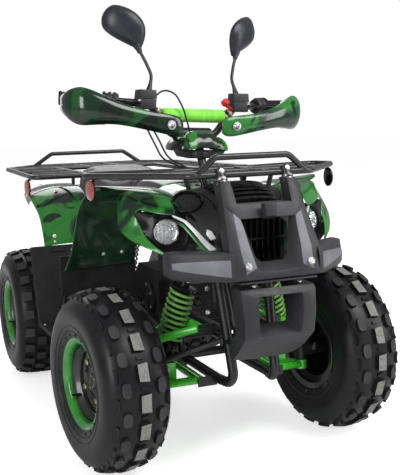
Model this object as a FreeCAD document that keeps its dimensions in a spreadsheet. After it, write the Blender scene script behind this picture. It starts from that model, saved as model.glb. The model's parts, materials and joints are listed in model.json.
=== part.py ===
import FreeCAD, Part
import Sketcher
import math
import os
import re

# Utility quad bike with a tubular frame, A-arm front end, swingarm rear end and moulded covers.
# Millimetres, +X forward, +Y to the left, +Z up, the ground at zero.
# Names that end in ahead are measured forward from the front axle, names that end in half
# are measured sideways from the middle plane, and names that end in height from the ground.

DOC = FreeCAD.newDocument("QuadBike")
SHEET = DOC.addObject("Spreadsheet::Sheet", "Sizes")
V = FreeCAD.Vector
LEFT, RIGHT = 1, -1

PLACING = {
    "front_axle_x": 484,
    "wheelbase": 980,
    "front_track": 685.5,
    "rear_track": 600,
    "steer_rest_angle": 6.1,
    "cut_overrun": 30,
    "running_fit": 0.05,
    "seat_gap": 0.3,
}

WHEELS = {
    "front_tyre_radius": 241.5,
    "front_tyre_width": 178,
    "front_rim_half": 76,
    "front_dish_out": 30,
    "rear_tyre_radius": 228.5,
    "rear_tyre_width": 235,
    "rear_rim_half": 103,
    "rear_dish_out": 52,
    "rim_flange_radius": 118,
    "rim_seat_radius": 102,
    "rim_drop_radius": 86,
    "rim_wall": 4,
    "rim_dish_wall": 5,
    "hub_radius": 34,
    "hub_length": 46,
    "hub_nose_radius": 19,
    "hub_nose_out": 34,
    "tyre_flange_rise": 12,
    "tread_depth": 12,
    "front_pitches": 18,
    "rear_pitches": 16,
}

STEERING = {
    "kingpin_half": 243,
    "kingpin_radius": 15,
    "knuckle_low_height": 213,
    "knuckle_top_height": 303,
    "ball_pin_radius": 8,
    "ball_pin_length": 17,
    "spindle_radius": 11,
    "spindle_boss_radius": 20,
    "steer_arm_reach": 45,
    "steer_arm_side": 14,
    "steer_arm_height": 258,
    "steer_arm_width": 20,
    "steer_arm_wall": 8,
    "tie_pin_radius": 5,
    "tie_eye_radius": 11,
    "tie_eye_length": 14,
    "tie_rod_radius": 7,
    "tie_end_gap": 8,
    "stem_pivot_ahead": -170,
    "stem_pivot_height": 900,
    "stem_rake_angle": 25,
    "stem_radius": 12,
    "stem_foot": 640,
    "bush_radius": 19,
    "bush_length": 32,
    "low_bush_drop": 590,
    "high_bush_drop": 300,
    "pitman_wall": 9,
    "cable_collar_drop": 235,
    "cable_radius": 2.5,
    "cable_end_run": 62,
    "cable_collar_radius": 22,
    "cable_collar_wall": 10,
}

ARMS = {
    "arm_tube_radius": 11,
    "arm_pivot_radius": 12,
    "arm_front_ahead": 105,
    "arm_rear_ahead": -95,
    "low_arm_inner_half": 112,
    "low_arm_inner_height": 226,
    "low_arm_outer_height": 198,
    "high_arm_inner_half": 108,
    "high_arm_inner_height": 366,
    "high_arm_outer_height": 318,
    "ball_housing_radius": 17,
    "shock_ahead": 8,
    "shock_top_half": 130,
    "shock_top_height": 486,
    "shock_low_half": 166,
    "shock_low_height": 250,
    "shock_body_radius": 17,
    "shock_rod_radius": 8,
    "shock_eye_radius": 12,
    "shock_eye_length": 26,
    "spring_radius": 23,
    "spring_wire_radius": 4.2,
    "spring_pitch": 19,
    "spring_top_gap": 62,
    "spring_low_gap": 34,
    "spring_seat_radius": 30,
    "spring_seat_wall": 6,
}

FRAME = {
    "frame_tube_radius": 13,
    "frame_bend": 60,
    "low_rail_height": 232,
    "low_rail_front_ahead": 192,
    "low_rail_front_half": 58,
    "low_rail_waist_half": 72,
    "low_rail_waist_ahead": 115,
    "low_rail_mid_ahead": -150,
    "low_rail_wide_ahead": -270,
    "low_rail_half": 118,
    "low_rail_end_ahead": -790,
    "low_rail_end_height": 330,
    "high_rail_front_ahead": 120,
    "high_rail_front_height": 545,
    "high_rail_front_half": 74,
    "high_rail_mid_ahead": -330,
    "high_rail_half": 112,
    "high_rail_rear_ahead": -1215,
    "high_rail_height": 622,
    "mid_tube_height": 366,
    "rear_post_low_ahead": -138,
    "engine_cross_front_ahead": -350,
    "engine_cross_rear_ahead": -530,
    "bracket_wall": 4,
    "bracket_width": 26,
    "bracket_bolt_radius": 6,
    "peg_ahead": -455,
    "peg_half": 318,
    "peg_height": 246,
    "peg_radius": 14,
    "swing_pivot_ahead": -640,
    "swing_pivot_height": 300,
    "swing_pivot_radius": 20,
    "swing_plate_half": 104,
    "swing_plate_wall": 8,
    "swing_bolt_radius": 8,
}

DRIVE = {
    "engine_front_ahead": -320,
    "engine_rear_ahead": -560,
    "engine_half": 70,
    "engine_top_height": 452,
    "engine_chamfer": 60,
    "cylinder_half": 54,
    "cylinder_barrel_half": 42,
    "cylinder_length": 130,
    "cylinder_head_length": 44,
    "cylinder_height": 372,
    "fin_count": 7,
    "fin_wall": 4,
    "exhaust_radius": 13,
    "exhaust_half": 78,
    "muffler_radius": 46,
    "muffler_length": 330,
    "muffler_half": 148,
    "muffler_height": 520,
    "muffler_rear_ahead": -1205,
    "swing_tube_radius": 17,
    "swing_half": 44,
    "swing_pivot_half": 62,
    "axle_radius": 15,
    "axle_housing_radius": 28,
    "axle_housing_half": 64,
    "sprocket_radius": 84,
    "sprocket_wall": 6,
    "sprocket_half": 86,
    "drive_sprocket_radius": 34,
    "drive_sprocket_ahead": -520,
    "drive_sprocket_height": 330,
    "sprocket_teeth_count": 38,
    "drive_teeth_count": 15,
    "tooth_depth": 6,
    "chain_half_wall": 6,
    "chain_depth": 12,
    "disc_radius": 88,
    "disc_wall": 4,
    "disc_half": 88,
    "disc_hub_radius": 30,
    "rear_shock_top_ahead": -700,
    "rear_shock_low_ahead": -850,
    "rear_shock_low_height": 300,
}

RACKS = {
    "rack_tube_radius": 8,
    "rack_slat_radius": 6.5,
    "rack_bend": 26,
    "front_rack_height": 770,
    "front_rack_front_ahead": 196,
    "front_rack_front_half": 165,
    "front_rack_corner_ahead": -30,
    "front_rack_half": 368,
    "front_rack_rear_ahead": -96,
    "front_rack_waist_ahead": -36,
    "front_rack_waist_half": 120,
    "front_rail_rise": 44,
    "front_rail_foot_half": 152,
    "front_rail_top_half": 102,
    "rack_slat_half": 62,
    "rack_slat_outer_half": 196,
    "rear_rack_rise": 116,
    "rear_rack_front_ahead": -588,
    "rear_rack_inner_half": 196,
    "rear_rack_half": 380,
    "rear_rack_mid_ahead": -1160,
    "rear_rack_mid_half": 352,
    "rear_rack_rear_ahead": -1296,
    "rear_rack_rear_half": 236,
    "rear_rack_cross_ahead": -1046,
    "rear_rail_rise": 48,
    "rear_rail_foot_half": 222,
    "rear_rail_top_half": 150,
    "front_post_ahead": 60,
    "front_post_half": 128,
    "rear_post_ahead": -1120,
}

BARS = {
    "bar_radius": 11,
    "bar_clamp_ahead": -176,
    "bar_clamp_height": 862,
    "bar_clamp_half": 70,
    "bar_rise_half": 138,
    "bar_rise_height": 948,
    "bar_end_ahead": -246,
    "bar_end_height": 958,
    "bar_end_half": 372,
    "bar_bend": 45,
    "crossbar_radius": 8,
    "crossbar_height": 925,
    "crossbar_half": 120,
    "pad_radius": 15,
    "pad_half": 91,
    "grip_radius": 16,
    "grip_length": 118,
    "switch_radius": 21,
    "switch_length": 38,
    "lever_radius": 5,
    "lever_length": 118,
    "lever_gap": 46,
    "perch_half": 150,
    "perch_length": 44,
    "perch_deep": 34,
    "perch_rise": 30,
    "perch_drop": 14,
    "stalk_radius": 4.5,
    "stalk_base_half": 152,
    "stalk_bend_ahead": -182,
    "stalk_bend_half": 130,
    "stalk_bend_height": 1024,
    "mirror_foot_ahead": -206,
    "mirror_foot_half": 160,
    "mirror_foot_height": 1102,
    "mirror_ahead": -228,
    "mirror_half": 200,
    "mirror_height": 1158,
    "mirror_wide": 44,
    "mirror_tall": 64,
    "mirror_deep": 18,
    "mirror_tilt_angle": 24,
    "guard_inner_half": 94,
    "guard_outer_half": 385,
    "guard_front_ahead": -116,
    "guard_rear_ahead": -196,
    "guard_low_height": 878,
    "guard_top_height": 985,
    "guard_wall": 4,
    "guard_stub_radius": 6,
    "pod_low_height": 792,
    "pod_top_height": 872,
    "pod_half": 92,
    "pod_front_ahead": -92,
    "pod_rear_ahead": -232,
}

COVERS = {
    "shell_wall": 4,
    "cowl_half": 136,
    "cowl_front_ahead": 196,
    "cowl_rear_ahead": -150,
    "cowl_rise": 106,
    "cowl_low_height": 560,
    "front_arch_ahead": -30,
    "front_arch_height": 500,
    "front_arch_radius": 250,
    "front_arch_outer_half": 382,
    "flap_wall": 4,
    "flap_top_height": 530,
    "flap_low_height": 402,
    "flap_inner_half": 160,
    "flap_outer_half": 384,
    "lamp_ahead": 92,
    "lamp_half": 200,
    "lamp_rise": 135,
    "lamp_radius": 33,
    "lamp_pod_radius": 46,
    "lamp_pod_depth": 60,
    "lens_depth": 16,
    "rear_arch_ahead": -980,
    "rear_arch_drop": 222,
    "rear_arch_radius": 282,
    "rear_arch_outer_half": 352,
    "deck_rear_ahead": -1246,
    "deck_rise": 50,
    "deck_rear_drop": 16,
    "deck_lip": 64,
    "tail_drop": 34,
    "tail_half": 70,
    "tail_tall": 46,
    "tail_deep": 22,
    "seat_front_ahead": -372,
    "seat_rear_ahead": -1012,
    "seat_half": 136,
    "seat_tall": 110,
    "tank_rear_ahead": -372,
    "tank_half": 118,
    "tank_tall": 112,
    "footwell_wall": 5,
    "footwell_front_height": 420,
    "footwell_toe_ahead": -370,
    "footwell_heel_ahead": -590,
    "footwell_rear_ahead": -684,
    "footwell_rear_height": 506,
    "footwell_inner_half": 140,
    "footwell_outer_half": 382,
    "reflector_radius": 27,
    "reflector_depth": 12,
}

BUMPER = {
    "bumper_top_ahead": 230,
    "bumper_top_height": 744,
    "bumper_cross_ahead": 266,
    "bumper_cross_height": 684,
    "bumper_nose_ahead": 336,
    "bumper_band_height": 562,
    "bumper_low_ahead": 333,
    "bumper_low_height": 506,
    "bumper_depth": 34,
    "bumper_strut_radius": 7,
    "bumper_strut_half": 68,
    "bumper_strut_height": 518,
    "skid_strut_height": 344,
    "rack_clamp_radius": 14,
    "rack_clamp_length": 26,
    "rack_clamp_half": 83,
    "bumper_top_half": 100,
    "bumper_band_half": 112,
    "bumper_upright_width": 34,
    "bumper_opening_top_half": 62,
    "bumper_opening_low_half": 44,
    "bumper_opening_top_height": 652,
    "bumper_opening_low_height": 572,
    "wing_half": 243,
    "wing_tip_ahead": 222,
    "wing_top_height": 600,
    "wing_low_height": 524,
    "wing_depth": 26,
    "skid_top_ahead": 324,
    "skid_low_height": 312,
    "skid_low_ahead": 238,
    "skid_depth": 30,
    "skid_half": 96,
    "skid_opening_half": 58,
    "skid_opening_top_height": 488,
    "skid_opening_low_height": 390,
    "grille_wall": 6,
    "grille_half": 86,
    "grille_top_height": 690,
    "grille_low_height": 548,
}

SIZES = {}
for group in (PLACING, WHEELS, STEERING, ARMS, FRAME, DRIVE, RACKS, BARS, COVERS, BUMPER):
    SIZES.update(group)
for row, (name, value) in enumerate(SIZES.items(), 1):
    SHEET.set(f"A{row}", name)
    SHEET.set(f"B{row}", str(value))
    SHEET.setAlias(f"B{row}", name)
DOC.recompute()


class Named:
    """Reads one named size from the sheet."""

    def __getattr__(self, name):
        return float(SHEET.get(name))


s = Named()
NODES = []


# An arc of a cable takes up this share of the shorter run beside it.
CORD_RUN_SHARE = 0.45
CORD_BEND_SHARE = 100


# Expressions and placing

def bound(text):
    """The expression with each named size pointed at the sheet."""
    return re.sub(r"[a-z_]{4,}", lambda m: "Sizes." + m.group() if m.group() in SIZES else m.group(), text)


def number(text):
    return float(SHEET.evalExpression(bound(text)))


def bind(item, **expressions):
    for prop, text in expressions.items():
        item.setExpression(prop.replace("__", "."), bound(text))


def at_axle():
    """The front axle's place, from which names that end in ahead are measured."""
    return FreeCAD.Placement(V(s.front_axle_x, 0, 0), FreeCAD.Rotation())


def rail_top():
    """Height at which the covers rest on the upper rails."""
    return s.high_rail_height + s.frame_tube_radius + s.seat_gap


def cowl_top():
    return s.high_rail_height + s.cowl_rise


def lamp_height():
    return s.front_arch_height + s.lamp_rise


def deck_front():
    return s.high_rail_height + s.deck_rise


def deck_rear():
    return deck_front() - s.deck_rear_drop


def stem_axis():
    rake = math.radians(s.stem_rake_angle)
    return V(s.stem_pivot_ahead, 0, s.stem_pivot_height), V(-math.sin(rake), 0, math.cos(rake))


def steered_bars():
    """The handlebar group turned about the raked stem by the rest angle."""
    centre, axis = stem_axis()
    turn = FreeCAD.Placement(V(0, 0, 0), FreeCAD.Rotation(axis, s.steer_rest_angle), centre)
    return at_axle().multiply(turn)


def steered_wheel(side):
    """A knuckle and its wheel turned about the upright kingpin by the rest angle."""
    centre = V(0, side * s.kingpin_half, 0)
    turn = FreeCAD.Placement(V(0, 0, 0), FreeCAD.Rotation(V(0, 0, 1), s.steer_rest_angle), centre)
    return at_axle().multiply(turn)


def keep(item, name, place):
    """Registers a finished sub-part under the name of its file."""
    item.Label = name
    item.Placement = place
    NODES.append(item)
    return item


def part(name, shape, place):
    """A sub-part whose shape is worked out here from the named sizes."""
    item = DOC.addObject("Part::Feature", name)
    item.Shape = shape
    return keep(item, name, place)


# Feature helpers

def new_body(name):
    return DOC.addObject("PartDesign::Body", name)


def sketch(owner, plane, points, offset=None):
    """A closed outline on one of the body's own origin planes, its points bound to the sheet."""
    outline = owner.newObject("Sketcher::SketchObject", owner.Name + "_outline")
    role = plane + "_Plane"
    base = next(item for item in owner.Origin.OriginFeatures if item.Role == role)
    outline.AttachmentSupport = [(base, "")]
    outline.MapMode = "FlatFace"
    if offset:
        outline.setExpression("AttachmentOffset.Base.z", bound(offset))
    places = [(number(across), number(up)) for across, up in points]
    count = len(places)
    for index in range(count):
        start, end = places[index], places[(index + 1) % count]
        outline.addGeometry(Part.LineSegment(V(*start, 0), V(*end, 0)))
    for index in range(count):
        outline.addConstraint(Sketcher.Constraint("Coincident", index, 2, (index + 1) % count, 1))
    for index, texts in enumerate(points):
        for kind, text, value, axis in zip(("DistanceX", "DistanceY"), texts, places[index], (-2, -1)):
            if value == 0:
                outline.addConstraint(Sketcher.Constraint("PointOnObject", index, 1, axis))
                continue
            rule = outline.addConstraint(Sketcher.Constraint(kind, -1, 1, index, 1, value))
            outline.setExpression(f"Constraints[{rule}]", bound(text))
    return outline


def revolve(owner, points):
    """Turns an outline of (radius, along) points about the body's Y axis."""
    outline = sketch(owner, "XY", points)
    item = owner.newObject("PartDesign::Revolution", owner.Name + "_turned")
    item.Profile = outline
    axis = next(entry for entry in owner.Origin.OriginFeatures if entry.Role == "Y_Axis")
    item.ReferenceAxis = (axis, [""])
    return item


def pad(owner, plane, points, length, offset=None, both=False):
    item = owner.newObject("PartDesign::Pad", owner.Name + "_pad")
    item.Profile = sketch(owner, plane, points, offset)
    item.SideType = "Symmetric" if both else "One side"
    bind(item, Length=length)
    return item


def pocket(owner, plane, points, length, offset=None, both=False):
    before = owner.Shape.Volume
    item = owner.newObject("PartDesign::Pocket", owner.Name + "_pocket")
    item.Profile = sketch(owner, plane, points, offset)
    item.SideType = "Symmetric" if both else "One side"
    bind(item, Length=length)
    DOC.recompute()
    if owner.Shape.Volume >= before:
        raise ValueError("a pocket in " + owner.Name + " removes nothing")
    return item


def mirrored(item, name):
    """The same piece on the other side of the middle plane."""
    other = DOC.addObject("Part::Mirroring", name)
    other.Source = item
    other.Normal = V(0, 1, 0)
    return other


def pair(item, name, place):
    """A piece and its mirror image in one sub-part."""
    joined = DOC.addObject("Part::Compound", name)
    joined.Links = [item, mirrored(item, name + "_right_side")]
    return keep(joined, name, place)


# Shape helpers

def both_sides(shape):
    """A shape and its mirror image about the middle plane."""
    return Part.makeCompound([shape, shape.mirror(V(0, 0, 0), V(0, 1, 0))])


def solids_of(shapes):
    found = []
    for shape in shapes:
        found += shape.Solids
    return found


def fuse(*shapes):
    pieces = solids_of(shapes)
    joined = pieces[0].fuse(pieces[1:])
    return joined.removeSplitter()


def path(points, bend, run_share=0.5):
    """Straight runs joined by tangent arcs, which take up no more than a share of the shorter run."""
    edges = []
    start = points[0]
    for before, corner, after in zip(points, points[1:], points[2:]):
        back = (before - corner).normalize()
        onward = (after - corner).normalize()
        half = back.getAngle(onward) / 2
        room = min((before - corner).Length, (after - corner).Length) * run_share
        reach = min(bend / math.tan(half), room)
        radius = reach * math.tan(half)
        entry, leave = corner + back * reach, corner + onward * reach
        middle = corner + (back + onward).normalize() * (radius / math.sin(half) - radius)
        edges.append(Part.LineSegment(start, entry).toShape())
        edges.append(Part.Arc(entry, middle, leave).toShape())
        start = leave
    edges.append(Part.LineSegment(start, points[-1]).toShape())
    return Part.Wire(edges)


def rod(points, radius, bend=0):
    """A round bar along a route."""
    if len(points) == 2:
        run = points[1] - points[0]
        return Part.makeCylinder(radius, run.Length, points[0], run)
    ring = Part.Wire(Part.makeCircle(radius, points[0], points[1] - points[0]))
    return path(points, bend).makePipeShell([ring], True, False)


def cord(points, radius):
    """A round cable whose arcs are as large as its runs allow."""
    ring = Part.Wire(Part.makeCircle(radius, points[0], points[1] - points[0]))
    longest = max((after - before).Length for before, after in zip(points, points[1:]))
    return path(points, longest * CORD_BEND_SHARE, CORD_RUN_SHARE).makePipeShell([ring], True, False)


def face(points):
    return Part.Face(Part.makePolygon(points + [points[0]]))


def prism(points, reach):
    """A flat outline pushed along a vector."""
    return face(points).extrude(reach)


def loft(sections, ruled=True):
    wires = [Part.makePolygon(points + [points[0]]) for points in sections]
    return Part.makeLoft(wires, True, ruled)


def drum(radius, length, centre, axis):
    """A cylinder centred on a point."""
    axis = V(axis).normalize()
    return Part.makeCylinder(radius, length, centre - axis * (length / 2), axis)


def side_view(points, half):
    """An outline of (ahead, height) points pushed across the whole width."""
    outline = [V(ahead, -half, height) for ahead, height in points]
    return prism(outline, V(0, 2 * half, 0))


# Wheels

def rim(name, side, half, dish_out, place):
    """Barrel with two flanges, seats and a drop centre, then the dish and hub in its middle."""
    item = new_body(name)
    seat_end = f"{half} - rim_wall"
    drop = "rim_drop_radius"
    barrel = [
        ("rim_flange_radius", f"{half}"),
        ("rim_flange_radius", seat_end),
        ("rim_seat_radius", seat_end),
        ("rim_seat_radius", f"{half} * 0.62"),
        (drop, f"{half} * 0.5"),
        (drop, f"0 - {half} * 0.5"),
        ("rim_seat_radius", f"0 - {half} * 0.62"),
        ("rim_seat_radius", f"0 - ({seat_end})"),
        ("rim_flange_radius", f"0 - ({seat_end})"),
        ("rim_flange_radius", f"0 - {half}"),
        ("rim_seat_radius - rim_wall", f"0 - {half}"),
        ("rim_seat_radius - rim_wall", f"0 - {half} * 0.62"),
        (f"{drop} - rim_wall", f"0 - {half} * 0.5"),
        (f"{drop} - rim_wall", f"{half} * 0.5"),
        ("rim_seat_radius - rim_wall", f"{half} * 0.62"),
        ("rim_seat_radius - rim_wall", f"{half}"),
    ]
    revolve(item, barrel)
    bore = "spindle_radius + running_fit" if half.startswith("front") else "axle_radius"
    out, back = f"{side} * {dish_out}", f"{side} * ({dish_out} - rim_dish_wall)"
    inner_end = f"{side} * ({dish_out} - hub_length)"
    nose = f"{side} * ({dish_out} + hub_nose_out)"
    dish = [
        (bore, inner_end),
        ("hub_radius", inner_end),
        ("hub_radius", back),
        (f"{drop} - rim_wall / 2", back),
        (f"{drop} - rim_wall / 2", out),
        ("hub_radius", out),
        ("hub_nose_radius", nose),
        (bore, nose),
    ]
    revolve(item, dish)
    return keep(item, name, place)


# Across the tread each facet ends at a share of the width, at a radius short of the crown by a share of the depth.
CROWN_SHARES = (0.22, 0.0)
SHOULDER_SHARES = (0.40, 1.0)
# Blocks on one pitch: each has its start and end along the pitch and its start and end across its facet.
FRONT_CROWN_SHARES = ((0.20, 0.86, 0.34, 0.66),)
FRONT_SHOULDER_SHARES = ((0.06, 0.62, 0.16, 0.80),)
REAR_CROWN_SHARES = ((0.12, 0.62, 0.06, 0.46), (0.38, 0.88, 0.54, 0.94))
REAR_SHOULDER_SHARES = ((0.10, 0.62, 0.08, 0.86),)
BLOCK_TOP_SHARE = 0.86


def tread_facet(corners, blocks, height):
    """A flat facet with the walls and tops of the tread blocks that stand on it."""
    near, far, far_in, near_in = corners
    lift = (far - near).cross(near_in - near).normalize() * height
    holes, faces = [], []
    for begin, end, low, high in blocks:
        foot = []
        for along, across in ((begin, low), (end, low), (end, high), (begin, high)):
            one, two = near + (far - near) * along, near_in + (far_in - near_in) * along
            foot.append(one + (two - one) * across)
        middle = (foot[0] + foot[1] + foot[2] + foot[3]) / 4
        top = [middle + (point - middle) * BLOCK_TOP_SHARE + lift for point in foot]
        holes.append(Part.makePolygon(foot + [foot[0]]))
        faces.append(face(top))
        for index in range(4):
            after = (index + 1) % 4
            faces.append(face([foot[index], foot[after], top[after], top[index]]))
    outline = Part.makePolygon([near, far, far_in, near_in, near])
    return faces + [Part.makeFace([outline] + holes, "Part::FaceMakerBullseye")]


def tyre(name, radius, width, half, pitches, crown_blocks, shoulder_blocks, place):
    """Closed ring from bead to tread in flat facets, with a tread of blocks out to the full radius."""
    corner = 1 / math.cos(math.pi / pitches)
    bead = half - s.rim_wall - s.seat_gap
    crown = radius - s.tread_depth
    outer = [((s.rim_seat_radius + s.seat_gap) * corner, bead),
             ((s.rim_flange_radius + 2 * s.seat_gap) * corner, bead),
             ((s.rim_flange_radius + s.tyre_flange_rise) * corner, half + s.rim_wall),
             (radius * 0.68, width / 2),
             (radius * 0.86, width * 0.49),
             (crown - SHOULDER_SHARES[1] * s.tread_depth, width * SHOULDER_SHARES[0]),
             (crown - CROWN_SHARES[1] * s.tread_depth, width * CROWN_SHARES[0])]
    profile = outer + [(out, -along) for out, along in reversed(outer)]
    shoulders = (len(outer) - 2, len(outer))
    step = 2 * math.pi / pitches
    rings = []
    for pitch in range(pitches):
        angle = step * (pitch - 0.5) - math.pi / 2
        rings.append([V(out * math.cos(angle), along, out * math.sin(angle)) for out, along in profile])
    crown_rise = radius - crown / corner
    faces = []
    for pitch in range(pitches):
        one, two = rings[pitch], rings[(pitch + 1) % pitches]
        for index in range(len(profile)):
            after = (index + 1) % len(profile)
            corners = [one[index], two[index], two[after], one[after]]
            if index == len(outer) - 1:
                faces += tread_facet(corners, crown_blocks, crown_rise)
            elif index in shoulders:
                across = shoulder_blocks
                if index > len(outer):
                    across = [(begin, end, 1 - high, 1 - low) for begin, end, low, high in shoulder_blocks]
                faces += tread_facet(corners, across, crown_rise * 0.8)
            else:
                faces.append(face(corners))
    return part(name, closed(faces), place)


def closed(faces):
    """One solid from faces that meet edge to edge."""
    shell = Part.makeShell(faces)
    shell.sewShape()
    body = Part.makeSolid(Part.makeShell(shell.Faces))
    if body.Volume < 0:
        body.reverse()
    return body


def wheel_place(ahead, half, radius):
    return FreeCAD.Placement(V(s.front_axle_x + ahead, half, radius), FreeCAD.Rotation())


def steered_hub(side):
    """The middle of a steered front wheel."""
    hub = FreeCAD.Placement(V(0, side * s.front_track / 2, s.front_tyre_radius), FreeCAD.Rotation())
    return steered_wheel(side).multiply(hub)


def make_front_wheels():
    for side, word in ((LEFT, "left"), (RIGHT, "right")):
        hub = steered_hub(side)
        tyre(f"front_tyre_{word}", s.front_tyre_radius, s.front_tyre_width, s.front_rim_half, int(s.front_pitches),
             FRONT_CROWN_SHARES, FRONT_SHOULDER_SHARES, hub)
        rim(f"front_rim_{word}", side, "front_rim_half", "front_dish_out", hub)


def make_rear_wheels():
    """Left wheel and its mirror image share a sub-part, because one axle carries both."""
    left_hub = FreeCAD.Placement(V(0, s.rear_track / 2, 0), FreeCAD.Rotation())
    centre = wheel_place(-s.wheelbase, 0, s.rear_tyre_radius)
    rubber = tyre("rear_tyre_one", s.rear_tyre_radius, s.rear_tyre_width, s.rear_rim_half, int(s.rear_pitches),
                  REAR_CROWN_SHARES, REAR_SHOULDER_SHARES, left_hub)
    metal = rim("rear_rim_one", LEFT, "rear_rim_half", "rear_dish_out", left_hub)
    del NODES[-2:]
    pair(rubber, "rear_tyres", centre)
    pair(metal, "rear_rims", centre)


# Front suspension and steering

def a_arm(inner_half, inner_height, outer_height, spread):
    """Pivot tube, two legs, the tip of the arm and the bore for its pivot bolt, left side."""
    ends = (s.arm_front_ahead, s.arm_rear_ahead)
    pivot = rod([V(ends[0], inner_half, inner_height), V(ends[1], inner_half, inner_height)], s.arm_pivot_radius)
    bore = rod([V(ends[0] + s.cut_overrun, inner_half, inner_height),
                V(ends[1] - s.cut_overrun, inner_half, inner_height)], s.bracket_bolt_radius + s.seat_gap)
    tip = V(0, s.kingpin_half, outer_height)
    legs = []
    for end in ends:
        foot = V(end * spread, inner_half, inner_height)
        legs.append(rod([foot, tip - (tip - foot).normalize() * s.ball_pin_radius], s.arm_tube_radius))
    return pivot, legs, tip, bore


def make_arms():
    """Lower arms with the shock's foot between two ears, and upper arms, both with ball housings."""
    leg_share = 0.82
    pivot, legs, tip, bore = a_arm(s.low_arm_inner_half, s.low_arm_inner_height, s.low_arm_outer_height, leg_share)
    top = s.knuckle_low_height - s.seat_gap
    low = s.low_arm_outer_height - s.arm_tube_radius
    housing = Part.makeCylinder(s.ball_housing_radius, top - low, V(tip.x, tip.y, low))
    along = (s.shock_low_half - s.low_arm_inner_half) / (tip.y - s.low_arm_inner_half)
    level = s.low_arm_inner_height + along * (s.low_arm_outer_height - s.low_arm_inner_height)
    cross = rod([V(s.arm_front_ahead * leg_share * (1 - along), s.shock_low_half, level),
                 V(s.arm_rear_ahead * leg_share * (1 - along), s.shock_low_half, level)], s.arm_tube_radius)
    ears = shock_bracket(s.shock_ahead, s.shock_low_half, s.shock_low_height, level)
    shape = fuse(pivot, *legs, housing, cross, *ears)
    pin = Part.makeCylinder(s.ball_pin_radius + s.running_fit, s.cut_overrun * 3, V(tip.x, tip.y, low))
    part("lower_arms", both_sides(shape.cut([pin, bore])), at_axle())

    pivot, legs, tip, bore = a_arm(s.high_arm_inner_half, s.high_arm_inner_height, s.high_arm_outer_height, leg_share)
    low = s.knuckle_top_height + s.seat_gap
    top = s.high_arm_outer_height + s.arm_tube_radius
    housing = Part.makeCylinder(s.ball_housing_radius, top - low, V(tip.x, tip.y, low))
    shape = fuse(pivot, *legs, housing)
    pin = Part.makeCylinder(s.ball_pin_radius + s.running_fit, s.cut_overrun * 3, V(tip.x, tip.y, low - s.cut_overrun))
    below = Part.makeBox(s.cut_overrun * 3, s.cut_overrun * 3, s.cut_overrun,
                         V(-s.cut_overrun * 1.5, tip.y - s.cut_overrun * 1.5, low - s.cut_overrun))
    part("upper_arms", both_sides(shape.cut([pin, below, bore])), at_axle())


def shock(top, low):
    """Damper with end eyes, spring seats and rod between two points, and its coil on the same line."""
    line = (low - top).normalize()
    length = (low - top).Length
    shoulder = top + line * (s.bracket_width / 2 + s.bracket_wall)
    body = rod([shoulder, top + line * (length * 0.55)], s.shock_body_radius)
    stem = rod([top + line * s.shock_eye_radius / 2, low - line * s.shock_eye_radius / 2], s.shock_rod_radius)
    eyes = [drum(s.shock_eye_radius, s.shock_eye_length, point, V(1, 0, 0)) for point in (top, low)]
    seat_top = top + line * s.spring_top_gap
    seat_low = low - line * s.spring_low_gap
    seats = [rod([seat_top, seat_top - line * s.spring_seat_wall], s.spring_seat_radius),
             rod([seat_low, seat_low + line * s.spring_seat_wall], s.spring_seat_radius)]
    bores = [drum(s.bracket_bolt_radius + s.seat_gap, s.shock_eye_length * 2, point, V(1, 0, 0))
             for point in (top, low)]
    damper = fuse(body, stem, *eyes, *seats).cut(bores)
    inner_top = seat_top + line * s.seat_gap
    inner_low = seat_low - line * s.seat_gap
    return damper, (inner_top, inner_low)


def coil(span, radius, wire_radius, pitch):
    """Rings of a coil spring seen as one helix of straight facets, with a square wire."""
    top, low = span
    line = (top - low).normalize()
    length = (top - low).Length
    across = line.cross(V(1, 0, 0)).normalize()
    along = across.cross(line).normalize()
    turns = max(2, round((length - 2 * wire_radius) / pitch))
    steps_per_turn = 12
    count = turns * steps_per_turn
    rise = (length - 2 * wire_radius) / count
    rings = []
    for step in range(count + 1):
        angle = 2 * math.pi * step / steps_per_turn
        outward = across * math.cos(angle) + along * math.sin(angle)
        centre = low + line * (wire_radius + rise * step) + outward * radius
        corners = []
        for quarter in range(4):
            turn = math.pi / 2 * quarter
            corners.append(centre + outward * (wire_radius * math.cos(turn)) + line * (wire_radius * math.sin(turn)))
        rings.append(corners)
    return strip(rings)


def strip(rings):
    """A closed solid through rings of corners, its sides split into flat triangles."""
    faces = [face(rings[0]), face(rings[-1])]
    for one, two in zip(rings, rings[1:]):
        for index in range(len(one)):
            after = (index + 1) % len(one)
            faces.append(face([one[index], one[after], two[index]]))
            faces.append(face([one[after], two[after], two[index]]))
    return Part.Solid(Part.Shell(faces))


def make_front_shocks():
    top = V(s.shock_ahead, s.shock_top_half, s.shock_top_height)
    low = V(s.shock_ahead, s.shock_low_half, s.shock_low_height)
    damper, span = shock(top, low)
    part("front_shocks", both_sides(damper), at_axle())
    spring = coil(span, s.spring_radius, s.spring_wire_radius, s.spring_pitch)
    part("front_springs", both_sides(spring), at_axle())


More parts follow.
